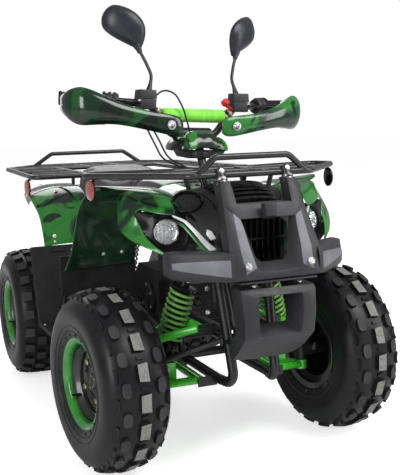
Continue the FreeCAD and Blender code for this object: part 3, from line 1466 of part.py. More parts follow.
def make_cables():
    """Throttle and brake cables from the right perch, one over the bar and two down to the stem's collar."""
    centre, axis = stem_axis()
    over = [V(-172, -126, 966), V(-167, -99, 988), V(-157, -67, 978), V(-149, -46, 938), V(-143, -36, 900),
            V(-139, -30, 872.6)]
    down = [[V(-176, -167, 932.7), V(-180, -155, 903), V(-183, -136, 868), V(-184, -115, 833), V(-182, -94, 794),
             V(-148, -50, 772)],
            [V(-176, -157, 932.7), V(-174, -145, 905), V(-172, -127, 875), V(-170, -107, 842), V(-166, -86, 798),
             V(-138, -42, 772)]]
    forward = V(axis.z, 0, -axis.x)
    ends = ((s.cable_collar_radius - 2 * s.cable_radius, 0), (s.cable_collar_radius - 2 * s.cable_radius, 0.7))
    routes = [over]
    for route, (reach, turn) in zip(down, ends):
        aside = V(0, -reach * math.cos(turn), 0) + forward * (reach * math.sin(turn))
        drop = s.cable_collar_drop - s.cable_collar_wall / 2 - s.seat_gap
        routes.append(route + [centre - axis * (drop - s.cable_end_run) + aside, centre - axis * drop + aside])
    part("cables", Part.makeCompound([cord(route, s.cable_radius) for route in routes]), steered_bars())


# Covers

# Half of a cover's rounded section: side, and rise from the shoulder to the top.
HOOD_SHARES = ((1.0, 0.0), (0.94, 0.5), (0.8, 0.84), (0.55, 1.0))


def hood(stations):
    """Thin shell open below, through (ahead, half, shoulder height, top height, low height) stations."""
    w = s.shell_wall

    def crown(ahead, half, shoulder, top):
        side = [(half * wide, shoulder + rise * (top - shoulder)) for wide, rise in HOOD_SHARES]
        return [V(ahead, -across, up) for across, up in side] + [V(ahead, across, up) for across, up in reversed(side)]

    sections = []
    for ahead, half, shoulder, top, low in stations:
        inner = crown(ahead, half - w, shoulder - w / 2, top - w)
        sections.append([V(ahead, -half, low)] + crown(ahead, half, shoulder, top) + [V(ahead, half, low)]
                        + [V(ahead, half - w, low)] + inner[::-1] + [V(ahead, w - half, low)])
    return loft(sections)


def make_front_cowl():
    """Nose cover over the steering, from the dash forwards and down to the bumper."""
    centre, axis = stem_axis()
    along_shares = ((0.0, 1.0, 0.82, 1.0, 0.3), (0.3, 1.0, 0.78, 0.96, 0.2), (0.62, 0.95, 0.6, 0.84, 0.1),
                    (0.87, 0.76, 0.42, 0.66, 0.1), (1.0, 0.55, 0.3, 0.5, 0.15))
    stations = []
    tall = cowl_top() - s.cowl_low_height
    for along, wide, shoulder, top, low in along_shares:
        ahead = s.cowl_rear_ahead + along * (s.cowl_front_ahead - s.cowl_rear_ahead)
        stations.append((ahead, s.cowl_half * wide, s.cowl_low_height + shoulder * tall,
                         s.cowl_low_height + top * tall, s.cowl_low_height + low * tall))
    shape = hood(stations)
    stem_way = Part.makeCylinder(s.stem_radius * 3, s.stem_foot, centre - axis * s.stem_foot, axis)
    shape = shape.cut(stem_way)
    posts = []
    for side in (LEFT, RIGHT):
        posts.append(rod([V(s.front_post_ahead, side * s.front_post_half, s.front_rack_height),
                          V(s.front_post_ahead, side * s.high_rail_front_half, high_rail_at(s.front_post_ahead)[1])],
                         s.rack_slat_radius * 2))
    part("front_cowl", shape.cut(posts), at_axle())


ARCH_SWELL_SHARE = 1.02


def arch(hub, radius, inner_half, outer_half, ribs):
    """Thin curved cover over a wheel: ribs of (angle, outer reach, outer side, inner reach) shares."""
    sections = []
    w = s.shell_wall
    for angle, outer, aside, inner in ribs:
        turn = math.radians(angle)
        ray = V(math.cos(turn), 0, math.sin(turn))

        def spot(reach, share):
            return hub + ray * reach + V(0, inner_half + share * (outer_half - inner_half), 0)

        middle = (outer + inner) / 2 * ARCH_SWELL_SHARE
        sections.append([spot(radius * inner, 0), spot(radius * middle, aside / 2), spot(radius * outer, aside),
                         spot(radius * outer - w, aside), spot(radius * middle - w, aside / 2),
                         spot(radius * inner - w, 0)])
    return loft(sections)


FRONT_ARCH_SHARES = ((17, 0.80, 0.33, 0.80), (35, 0.66, 0.54, 0.85), (55, 0.66, 0.68, 0.90), (75, 0.78, 0.70, 0.95),
                     (97, 1.0, 0.80, 0.97), (117, 0.90, 0.88, 0.90), (139, 0.80, 0.88, 0.82), (162, 0.84, 0.93, 0.84),
                     (176, 0.93, 1.0, 0.93))


def flap_front():
    """The flap's front face lies against the foot of the fender."""
    angle, reach = FRONT_ARCH_SHARES[-1][:2]
    swell = reach * s.front_arch_radius * ARCH_SWELL_SHARE
    return s.front_arch_ahead + swell * math.cos(math.radians(angle)) - s.seat_gap


def make_front_fenders():
    """Arched fenders over the front wheels and the flat flaps that hang behind the tyres."""
    hub = V(s.front_arch_ahead, 0, s.front_arch_height)
    inner_half = s.cowl_half + s.seat_gap
    shape = arch(hub, s.front_arch_radius, inner_half, s.front_arch_outer_half, FRONT_ARCH_SHARES)
    lamp_way = rod([V(s.lamp_ahead - s.lamp_pod_depth - s.cut_overrun, s.lamp_half, lamp_height()),
                    V(s.lamp_ahead + s.lamp_pod_depth, s.lamp_half, lamp_height())], s.lamp_pod_radius + s.seat_gap)
    part("front_fenders", both_sides(shape.cut(lamp_way)), at_axle())
    flap = Part.makeBox(s.flap_wall, s.flap_outer_half - s.flap_inner_half, s.flap_top_height - s.flap_low_height,
                        V(flap_front() - s.flap_wall, s.flap_inner_half, s.flap_low_height))
    part("fender_flaps", both_sides(flap), at_axle())


def make_headlamps():
    """Round pods with a shallow lens in front."""
    pod = rod([V(s.lamp_ahead - s.lamp_pod_depth / 2, s.lamp_half, lamp_height()),
               V(s.lamp_ahead + s.lens_depth / 2, s.lamp_half, lamp_height())], s.lamp_pod_radius)
    lens = rod([V(s.lamp_ahead, s.lamp_half, lamp_height()),
                V(s.lamp_ahead + s.lens_depth, s.lamp_half, lamp_height())], s.lamp_radius)
    part("headlamps", both_sides(fuse(pod, lens)), at_axle())


REAR_ARCH_SHARES = ((20, 1.0, 0.82, 1.0), (50, 1.0, 0.84, 1.0), (75, 1.0, 0.95, 0.99), (105, 0.97, 0.95, 0.98),
                    (138, 1.04, 0.80, 1.0))


def make_rear_body():
    """Rear fenders and the deck behind the seat in one moulding, resting on the upper rails."""
    hub = V(s.rear_arch_ahead, 0, s.high_rail_height - s.rear_arch_drop)
    inner_half = s.seat_half + s.seat_gap
    fender = arch(hub, s.rear_arch_radius, inner_half, s.rear_arch_outer_half, REAR_ARCH_SHARES)
    w = s.shell_wall
    front = s.seat_rear_ahead - s.seat_gap
    rear = s.deck_rear_ahead
    lip = deck_rear() - s.deck_lip
    deck = side_view([(front, deck_front()), (rear, deck_rear()), (rear, lip), (rear + w, lip),
                      (rear + w, deck_rear() - w), (front, deck_front() - w)], inner_half + w)
    feet = []
    for side in (LEFT, RIGHT):
        feet.append(Part.makeBox(s.frame_tube_radius * 3, s.frame_tube_radius, deck_front() - w - rail_top(),
                                 V(front - s.frame_tube_radius * 3, side * s.high_rail_half - s.frame_tube_radius / 2,
                                   rail_top())))
    shape = fuse(fender, fender.mirror(V(0, 0, 0), V(0, 1, 0)), deck, *feet)
    post_ways = [rod([V(s.rear_post_ahead, side * s.high_rail_half, s.high_rail_height),
                      V(s.rear_post_ahead, side * s.high_rail_half, s.high_rail_height + s.rear_rack_rise)],
                     s.rack_slat_radius + s.seat_gap) for side in (LEFT, RIGHT)]
    part("rear_body", shape.cut(post_ways), at_axle())


def make_seat():
    base = rail_top()
    side_shares = ((0.0, 0.9), (0.06, 1.0), (0.35, 0.82), (0.6, 0.86), (0.9, 0.98), (1.0, 0.88))
    length = s.seat_rear_ahead - s.seat_front_ahead
    outline = [(s.seat_front_ahead, base)]
    for along, tall in side_shares:
        outline.append((s.seat_front_ahead + along * length, base + tall * s.seat_tall))
    outline.append((s.seat_rear_ahead, base))
    part("seat", side_view(outline, s.seat_half), at_axle())


def make_tank_cover():
    """Cover between the steering and the seat."""
    front = s.cowl_rear_ahead - s.seat_gap
    rear = s.tank_rear_ahead + s.seat_gap
    low = rail_top()
    top = low + s.tank_tall
    mid = (front + rear) / 2
    stations = [(rear, s.tank_half, top - s.frame_tube_radius * 2, top, low),
                (mid, s.tank_half * 0.95, top - s.frame_tube_radius * 2, top, low),
                (front, s.tank_half, cowl_top() - s.frame_tube_radius, cowl_top(), low)]
    part("tank_cover", hood(stations), at_axle())


def make_footwells():
    """Foot trays with a raised toe and heel wall beside the engine."""
    floor = s.peg_height + s.peg_radius + s.seat_gap
    w = s.footwell_wall
    front = flap_front() - s.flap_wall - s.seat_gap
    top = [(front, s.footwell_front_height), (s.footwell_toe_ahead, floor + w),
           (s.footwell_heel_ahead, floor + w), (s.footwell_rear_ahead, s.footwell_rear_height)]
    under = [(s.footwell_rear_ahead + w * 0.3, s.footwell_rear_height - w), (s.footwell_heel_ahead - w * 0.5, floor),
             (s.footwell_toe_ahead + w * 0.5, floor), (front, s.footwell_front_height - w * 2)]
    outline = [V(ahead, s.footwell_inner_half, height) for ahead, height in top + under]
    shape = prism(outline, V(0, s.footwell_outer_half - s.footwell_inner_half, 0))
    part("footwells", both_sides(shape), at_axle())


def make_bumper():
    """Moulded front guard: two uprights, the cross bar, the band with its bolts and the side wings."""
    d = s.bumper_depth
    profile = [(s.bumper_top_ahead, s.bumper_top_height), (s.bumper_cross_ahead, s.bumper_cross_height),
               (s.bumper_nose_ahead, s.bumper_band_height), (s.bumper_low_ahead, s.bumper_low_height),
               (s.bumper_low_ahead - d, s.bumper_low_height), (s.bumper_nose_ahead - d * 1.2, s.bumper_band_height),
               (s.bumper_cross_ahead - d, s.bumper_cross_height), (s.bumper_top_ahead - d * 0.7, s.bumper_top_height)]
    core = side_view(profile, s.bumper_band_half)
    far = s.cut_overrun * 20
    opening = [V(0, -s.bumper_opening_low_half, s.bumper_opening_low_height),
               V(0, s.bumper_opening_low_half, s.bumper_opening_low_height),
               V(0, s.bumper_opening_top_half, s.bumper_opening_top_height),
               V(0, -s.bumper_opening_top_half, s.bumper_opening_top_height)]
    gap = s.bumper_opening_top_half
    above = [V(0, -gap, s.bumper_cross_height + s.bumper_upright_width / 2),
             V(0, gap, s.bumper_cross_height + s.bumper_upright_width / 2),
             V(0, gap, s.bumper_top_height + s.cut_overrun), V(0, -gap, s.bumper_top_height + s.cut_overrun)]
    shape = core.cut([prism(opening, V(far, 0, 0)), prism(above, V(far, 0, 0))])
    wings = []
    for side in (LEFT, RIGHT):
        root = s.bumper_band_half * 0.9
        inner = [V(s.bumper_nose_ahead - d * 0.5, side * root, s.wing_low_height),
                 V(s.bumper_nose_ahead - d * 0.9, side * root, s.wing_top_height),
                 V(s.bumper_nose_ahead - d * 0.9 - s.wing_depth, side * root, s.wing_top_height),
                 V(s.bumper_nose_ahead - d * 0.5 - s.wing_depth, side * root, s.wing_low_height)]
        tip = s.wing_tip_ahead
        outer = [V(tip + d * 0.3, side * s.wing_half, s.wing_low_height),
                 V(tip, side * s.wing_half, s.wing_top_height - d * 0.2),
                 V(tip - s.wing_depth, side * s.wing_half, s.wing_top_height - d * 0.2),
                 V(tip + d * 0.3 - s.wing_depth, side * s.wing_half, s.wing_low_height)]
        wings.append(loft([inner, outer]))
    clamps = []
    rail = V(s.front_rack_front_ahead, 0, s.front_rack_height)
    reach = s.rack_clamp_radius
    for side in (LEFT, RIGHT):
        aside = V(0, side * s.rack_clamp_half, 0)
        clamps.append(drum(reach, s.rack_clamp_length, rail + aside, V(0, 1, 0)))
        web = [rail + V(0, 0, -reach), V(s.bumper_top_ahead - d * 0.7, 0, s.bumper_top_height - reach),
               V(s.bumper_top_ahead, 0, s.bumper_top_height - reach), V(s.bumper_top_ahead, 0, s.bumper_top_height),
               rail + V(reach, 0, 0)]
        start = aside - V(0, s.rack_clamp_length / 2, 0)
        clamps.append(prism([point + start for point in web], V(0, s.rack_clamp_length, 0)))
    rail_way = drum(s.rack_tube_radius + s.seat_gap, 4 * s.rack_clamp_half, rail, V(0, 1, 0))
    part("bumper", fuse(shape, *wings, *clamps).cut(rail_way), at_axle())


def make_skid_plate():
    """Lower guard with a square opening, sloping back under the nose."""
    d = s.skid_depth
    top = s.bumper_low_height - s.seat_gap
    profile = [(s.skid_top_ahead, top), (s.skid_low_ahead, s.skid_low_height),
               (s.skid_low_ahead - d, s.skid_low_height), (s.skid_top_ahead - d, top)]
    core = side_view(profile, s.skid_half)
    opening = [V(0, -s.skid_opening_half, s.skid_opening_low_height), V(0, s.skid_opening_half, s.skid_opening_low_height),
               V(0, s.skid_opening_half, s.skid_opening_top_height), V(0, -s.skid_opening_half, s.skid_opening_top_height)]
    part("skid_plate", core.cut(prism(opening, V(s.cut_overrun * 20, 0, 0))), at_axle())


def make_grille():
    plate = Part.makeBox(s.grille_wall, 2 * s.grille_half, s.grille_top_height - s.grille_low_height,
                         V(s.cowl_front_ahead + s.seat_gap, -s.grille_half, s.grille_low_height))
    part("grille", plate, at_axle())


def make_lights():
    """Round side reflectors on both racks and the tail lamp."""
    discs = []
    for ahead, half, height in ((s.front_rack_corner_ahead, s.front_rack_half, s.front_rack_height),
                                (s.rear_rack_front_ahead - 2 * s.rack_bend, s.rear_rack_half,
                                 s.high_rail_height + s.rear_rack_rise)):
        centre = V(ahead, half, height - s.rack_tube_radius - s.seat_gap - s.reflector_radius)
        discs.append(drum(s.reflector_radius, s.reflector_depth, centre, V(0, 1, 0)))
    left = Part.makeCompound(discs)
    part("reflectors", Part.makeCompound([left, left.mirror(V(0, 0, 0), V(0, 1, 0))]), at_axle())
    tail = Part.makeBox(s.tail_deep, 2 * s.tail_half, s.tail_tall,
                        V(s.deck_rear_ahead - s.seat_gap - s.tail_deep, -s.tail_half,
                           deck_rear() - s.tail_drop - s.tail_tall / 2))
    part("tail_lamp", tail, at_axle())


def check_and_write():
    DOC.recompute()
    for item in DOC.Objects:
        if {"Invalid", "Error"} & set(item.State):
            raise ValueError(item.Name + " failed: " + str(item.State))
    os.makedirs("parts", exist_ok=True)
    for item in NODES:
        shape = item.Shape
        if shape.isNull() or not shape.isValid():
            raise ValueError(item.Label + " has no valid shape")
        shape.exportStep("parts/" + item.Label + ".step")
        box = shape.BoundBox
        print(item.Label, len(shape.Solids), "solids", round(shape.Volume / 1000), "cm3",
              [round(value) for value in (box.XMin, box.XMax, box.YMin, box.YMax, box.ZMin, box.ZMax)])


make_front_wheels()
make_rear_wheels()
make_arms()
make_front_shocks()
make_knuckles()
make_steering_column()
make_tie_rods()
make_frame()
make_engine()
make_exhaust()
make_swingarm()
make_rear_shock()
make_rear_axle()
make_chain()
make_front_rack()
make_rear_rack()
make_handlebar()
make_handguards()
make_mirrors()
make_dash_pod()
make_cables()
make_front_cowl()
make_front_fenders()
make_headlamps()
make_rear_body()
make_seat()
make_tank_cover()
make_footwells()
make_bumper()
make_skid_plate()
make_grille()
make_lights()
check_and_write()
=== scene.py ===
import json
import math
import random

import bmesh
import bpy
from mathutils import Matrix, Vector


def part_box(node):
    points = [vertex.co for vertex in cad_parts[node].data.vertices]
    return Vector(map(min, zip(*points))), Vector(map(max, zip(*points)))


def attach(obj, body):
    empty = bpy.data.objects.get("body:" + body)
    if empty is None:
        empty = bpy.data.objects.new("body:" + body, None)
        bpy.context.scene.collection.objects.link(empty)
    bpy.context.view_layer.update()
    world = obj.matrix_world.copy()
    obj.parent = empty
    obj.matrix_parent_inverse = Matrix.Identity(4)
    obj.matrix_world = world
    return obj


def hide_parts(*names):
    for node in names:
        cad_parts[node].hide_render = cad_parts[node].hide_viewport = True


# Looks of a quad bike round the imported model. The frame is in metres, +X forward, +Y to the left, +Z up.
# Places in this file are in millimetres ahead of the front axle, left of the middle plane and above the ground.

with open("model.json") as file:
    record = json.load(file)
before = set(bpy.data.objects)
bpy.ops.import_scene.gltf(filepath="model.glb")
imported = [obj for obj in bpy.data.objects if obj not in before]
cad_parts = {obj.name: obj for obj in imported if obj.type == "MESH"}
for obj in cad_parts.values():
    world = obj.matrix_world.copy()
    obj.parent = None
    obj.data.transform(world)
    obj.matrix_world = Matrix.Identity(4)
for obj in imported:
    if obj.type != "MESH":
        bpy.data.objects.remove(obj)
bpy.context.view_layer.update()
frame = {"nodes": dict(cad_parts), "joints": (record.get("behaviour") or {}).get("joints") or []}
NODES = frame["nodes"]
JOINTS = {joint["name"]: joint for joint in frame["joints"]}
MM = 0.001
AXLE = 0.484
LEFT, RIGHT = 1, -1
SIDES = (("left", LEFT), ("right", RIGHT))
FORE, ASIDE, UP = Vector((1, 0, 0)), Vector((0, 1, 0)), Vector((0, 0, 1))


# Node graphs

class Graph:
    """A material's node tree built by short calls. Textures follow the object's own coordinates."""

    def __init__(self, name):
        self.mat = bpy.data.materials.new(name)
        self.mat.use_nodes = True
        self.tree = self.mat.node_tree
        self.shader = self.tree.nodes["Principled BSDF"]
        self.coords = self.tree.nodes.new("ShaderNodeTexCoord").outputs["Object"]

    def put(self, socket, value):
        if isinstance(value, bpy.types.NodeSocket):
            self.tree.links.new(value, socket)
        elif isinstance(value, (tuple, list)) and len(value) == 3 and socket.type == "RGBA":
            socket.default_value = (*value, 1)
        else:
            socket.default_value = value

    def node(self, kind, props=None, **inputs):
        item = self.tree.nodes.new("ShaderNode" + kind)
        for key, value in (props or {}).items():
            setattr(item, key, value)
        for key, value in inputs.items():
            self.put(item.inputs[key], value)
        return item

    def noise(self, scale, detail=4.0, rough=0.5, twist=0.0, at=None):
        item = self.node("TexNoise", Vector=at or self.coords, Scale=scale, Detail=detail, Roughness=rough,
                         Distortion=twist)
        return item.outputs["Fac"]

    def cells(self, scale, feature="F1", spread=1.0):
        item = self.node("TexVoronoi", {"feature": feature}, Vector=self.coords, Scale=scale, Randomness=spread)
        return item.outputs["Distance"]

    def bands(self, way, scale, twist, **rest):
        item = self.node("TexWave", {"wave_type": "BANDS", "bands_direction": way}, Vector=self.coords, Scale=scale,
                         Distortion=twist, **rest)
        return item.outputs["Fac"]

    def ramp(self, fac, stops):
        item = self.node("ValToRGB", Fac=fac)
        ramp = item.color_ramp
        while len(ramp.elements) < len(stops):
            ramp.elements.new(0.5)
        for element, (place, colour) in zip(ramp.elements, stops):
            element.position = place
            element.color = (*colour, 1) if isinstance(colour, tuple) else (colour, colour, colour, 1)
        return item.outputs["Color"]

    def mix(self, fac, one, two):
        item = self.node("Mix", {"data_type": "RGBA"})
        for slot, value in ((0, fac), (6, one), (7, two)):
            self.put(item.inputs[slot], value)
        return item.outputs[2]

    def maths(self, what, one, two=0.0):
        item = self.node("Math", {"operation": what})
        self.put(item.inputs[0], one)
        self.put(item.inputs[1], two)
        return item.outputs[0]

    def spread(self, value, low, high, to_low, to_high):
        item = self.node("MapRange", Value=value)
        for key, number in (("From Min", low), ("From Max", high), ("To Min", to_low), ("To Max", to_high)):
            item.inputs[key].default_value = number
        return item.outputs[0]

    def bump(self, height, strength, distance, onto=None):
        item = self.node("Bump", Height=height, Strength=strength, Distance=distance)
        if onto:
            self.put(item.inputs["Normal"], onto)
        return item.outputs["Normal"]

    def facing(self):
        """How far the surface turns upward."""
        return self.node("SeparateXYZ", Vector=self.node("NewGeometry").outputs["Normal"]).outputs["Z"]

    def finish(self, colour, rough, normal=None, **plain):
        if normal:
            plain["Normal"] = normal
        for key, value in {"Base_Color": colour, "Roughness": rough, **plain}.items():
            self.put(self.shader.inputs[key.replace("_", " ")], value)
        return self.mat


def scaled(colour, share, more=0.0):
    """A colour made lighter or darker."""
    return tuple(min(1.0, c * share + more) for c in colour)


def camouflage(name, lean=0.0, deep_share=1.0, soft=0.0):
    """Gloss paint in dark, mid and light green blotches with soft edges, under a clear coat. Lean lightens it,
    deep_share scales its greens and soft evens the blotches; the lit copy is painted light and the shaded copy
    painted shade.
    """
    g = Graph(name)
    blotch = g.maths("ADD", g.noise(6.2, 1.8, 0.45, 0.9), lean)
    shifted = g.node("Mapping", Vector=g.coords)
    shifted.inputs["Location"].default_value = (3.1, 7.7, 1.9)
    second = g.maths("ADD", g.noise(8.0, 1.8, 0.5, 1.2, shifted.outputs["Vector"]), -0.6 * lean)
    dark, deep = (0.0012, 0.005, 0.003), (0.002, 0.018, 0.006)
    mid, light = (0.006, 0.062 * deep_share, 0.012), (0.020, 0.165 * deep_share, 0.022)
    edge = 0.025 + soft
    base = g.ramp(blotch, [(0.0, deep), (0.43 - soft, deep), (0.43 - soft + edge, mid), (0.51, mid),
                           (0.51 + edge, light), (1.0, light)])
    spots = g.ramp(second, [(0.0, 0.0), (0.54, 0.0), (0.54 + edge, 1.0 - 3 * soft), (1.0, 1.0 - 3 * soft)])
    colour = g.mix(spots, base, dark)
    grain = g.noise(420, 2, 0.6)
    colour = g.mix(g.spread(grain, 0.4, 0.7, 0.0, 0.08), colour, (0.02, 0.08, 0.02))
    waves = g.bump(g.noise(38, 3, 0.5), 0.05, 0.002)
    rough = g.spread(g.noise(60, 5, 0.65), 0.3, 0.7, 0.13, 0.22)
    return g.finish(colour, rough, waves, Coat_Weight=0.3, Coat_Roughness=0.05, Specular_IOR_Level=0.36)


def moulded(name, colour, rough, grain=900, depth=0.35, shine=0.36):
    """Moulded plastic with a fine leather-like grain and slight scuffs."""
    g = Graph(name)
    skin = g.cells(grain, "SMOOTH_F1")
    scuff = g.noise(14, 6, 0.7)
    shade = g.mix(g.spread(scuff, 0.42, 0.75, 0.0, 0.8), colour, scaled(colour, 1.5, 0.004))
    # What faces up is mixed toward pale grey.
    shade = g.mix(g.spread(g.facing(), 0.3, 1.0, 0.0, 0.07), shade, (0.16, 0.155, 0.15))
    roughness = g.spread(g.noise(45, 4, 0.6), 0.3, 0.7, rough - 0.06, rough + 0.08)
    normal = g.bump(scuff, 0.08, 0.002, g.bump(skin, depth, 0.0006))
    return g.finish(shade, roughness, normal, Specular_IOR_Level=shine)


def painted(name, colour, rough, coat=0.0, peel=0.06):
    """Paint on steel: orange peel, faint tone changes and specks of wear."""
    g = Graph(name)
    tone = g.noise(22, 4, 0.6)
    shade = g.ramp(tone, [(0.3, scaled(colour, 0.72)), (0.55, colour), (0.75, scaled(colour, 1.25, 0.003))])
    speck = g.ramp(g.noise(260, 3, 0.7), [(0.0, 0.0), (0.70, 0.0), (0.74, 1.0), (1.0, 1.0)])
    shade = g.mix(g.maths("MULTIPLY", speck, 0.25), shade, (0.18, 0.17, 0.15))
    roughness = g.spread(g.noise(80, 4, 0.6), 0.3, 0.7, rough - 0.05, rough + 0.09)
    return g.finish(shade, roughness, g.bump(g.noise(300, 2, 0.5), peel, 0.0008), Coat_Weight=coat,
                    Coat_Roughness=0.08)


def metal(name, colour, rough, brushed=60, oily=0.0):
    """Bare metal with a directional grain, tarnish and, where wanted, dark oil."""
    g = Graph(name)
    along = g.node("Mapping", Vector=g.coords)
    along.inputs["Scale"].default_value = (1, 9, 1)
    grain = g.noise(brushed, 5, 0.7, 0, along.outputs["Vector"])
    tarnish = g.noise(30, 5, 0.65)
    shade = g.ramp(tarnish, [(0.3, scaled(colour, 0.55)), (0.52, colour), (0.8, scaled(colour, 1.15))])
    if oily:
        shade = g.mix(g.spread(g.noise(45, 5, 0.7), 0.45, 0.6, 0.0, oily), shade, (0.012, 0.010, 0.008))
    roughness = g.spread(grain, 0.3, 0.7, rough - 0.07, rough + 0.12)
    return g.finish(shade, roughness, g.bump(grain, 0.08, 0.0005), Metallic=1.0)


def rubber(name, colour, rough, dust_and_highlight=0.15, grain=700):
    """Black rubber: fine moulding grain, tone changes and pale patches, dry dirt on most parts and painted
    highlight on the tread blocks' tops.
    """
    g = Graph(name)
    mottle = g.noise(18, 6, 0.7)
    shade = g.ramp(mottle, [(0.3, colour), (0.7, scaled(colour, 1.9, 0.004))])
    shade = g.mix(g.spread(g.noise(8, 5, 0.7), 0.45, 0.75, 0.0, dust_and_highlight), shade, (0.12, 0.115, 0.105))
    normal = g.bump(g.noise(grain, 3, 0.6), 0.20, 0.0006)
    return g.finish(shade, g.spread(mottle, 0.3, 0.7, rough - 0.06, rough + 0.1), normal, Specular_IOR_Level=0.20)


def painted_lug_highlight():
    """Tops of the tread blocks painted paler in uneven patches as highlight, and rough."""
    g = Graph("lug_tops_painted_highlight")
    highlight_patches = g.noise(90, 6, 0.75)
    shade = g.ramp(highlight_patches, [(0.3, (0.08, 0.08, 0.073)), (0.5, (0.17, 0.17, 0.155)), (0.75, (0.24, 0.24, 0.22))])
    return g.finish(shade, 0.82, g.bump(g.noise(600, 4, 0.7), 0.4, 0.0006))


def vinyl():
    """Seat cover: pebbled vinyl with a soft sheen."""
    g = Graph("seat_vinyl")
    pebble = g.cells(330, "SMOOTH_F1")
    crease = g.noise(26, 5, 0.6)
    shade = g.ramp(crease, [(0.3, (0.010, 0.010, 0.011)), (0.7, (0.028, 0.028, 0.030))])
    normal = g.bump(crease, 0.10, 0.004, g.bump(pebble, 0.5, 0.0008))
    return g.finish(shade, g.spread(crease, 0.3, 0.7, 0.42, 0.58), normal, Sheen_Weight=0.15)


def pad_cloth():
    """Lime foam sleeve under a woven cover."""
    g = Graph("pad_cloth")
    weave = g.bands("DIAGONAL", 420.0, 1.2, Detail=2.0)
    tone = g.noise(34, 5, 0.65)
    shade = g.ramp(tone, [(0.3, (0.13, 0.52, 0.028)), (0.55, (0.20, 0.72, 0.04)), (0.75, (0.30, 0.86, 0.08))])
    return g.finish(shade, 0.62, g.bump(tone, 0.25, 0.004, g.bump(weave, 0.4, 0.0005)), Sheen_Weight=0.3)


def clear_lens():
    """Clear polycarbonate with moulded flutes, thin enough to let the light straight through."""
    g = Graph("clear_lens")
    flutes = g.bands("Y", 34.0, 0.3)
    veil = g.spread(flutes, 0.0, 1.0, 0.06, 0.18)
    return g.finish((0.92, 0.95, 0.98), g.spread(g.noise(50, 3, 0.5), 0.3, 0.7, 0.03, 0.08),
                    g.bump(flutes, 0.10, 0.001), Alpha=veil, Specular_IOR_Level=0.8)


def mirror_bright(name, colour, rough):
    """Vacuum-plated reflector or looking glass with faint smears."""
    g = Graph(name)
    smear = g.noise(40, 4, 0.6)
    shade = g.ramp(smear, [(0.2, scaled(colour, 0.86)), (0.8, colour)])
    return g.finish(shade, g.spread(smear, 0.3, 0.7, rough, rough + 0.06), g.bump(smear, 0.02, 0.001), Metallic=1.0)


def prism_lens(name, colour):
    """Moulded reflector with corner prisms under its face."""
    g = Graph(name)
    prisms = g.cells(330, spread=0.0)
    shade = g.mix(g.spread(prisms, 0.0, 0.8, 0.0, 1.0), scaled(colour, 2.1, 0.02), colour)
    return g.finish(shade, 0.12, g.bump(prisms, 0.35, 0.001), Coat_Weight=1.0, Coat_Roughness=0.03)


def mesh_texture():
    """Black plastic with a fine woven mesh moulded in, its holes painted darker as shade and the ridges between
    them lighter as highlight.
    """
    g = Graph("moulded_mesh")
    holes = g.cells(230, spread=0.0)
    # Holes painted darker as shade, ridges lighter as highlight.
    shade = g.ramp(holes, [(0.0, (0.003, 0.003, 0.003)), (0.35, (0.005, 0.005, 0.005)),
                           (0.6, (0.018, 0.018, 0.019))])
    return g.finish(shade, 0.40, g.bump(holes, 0.6, 0.002), Specular_IOR_Level=0.25)


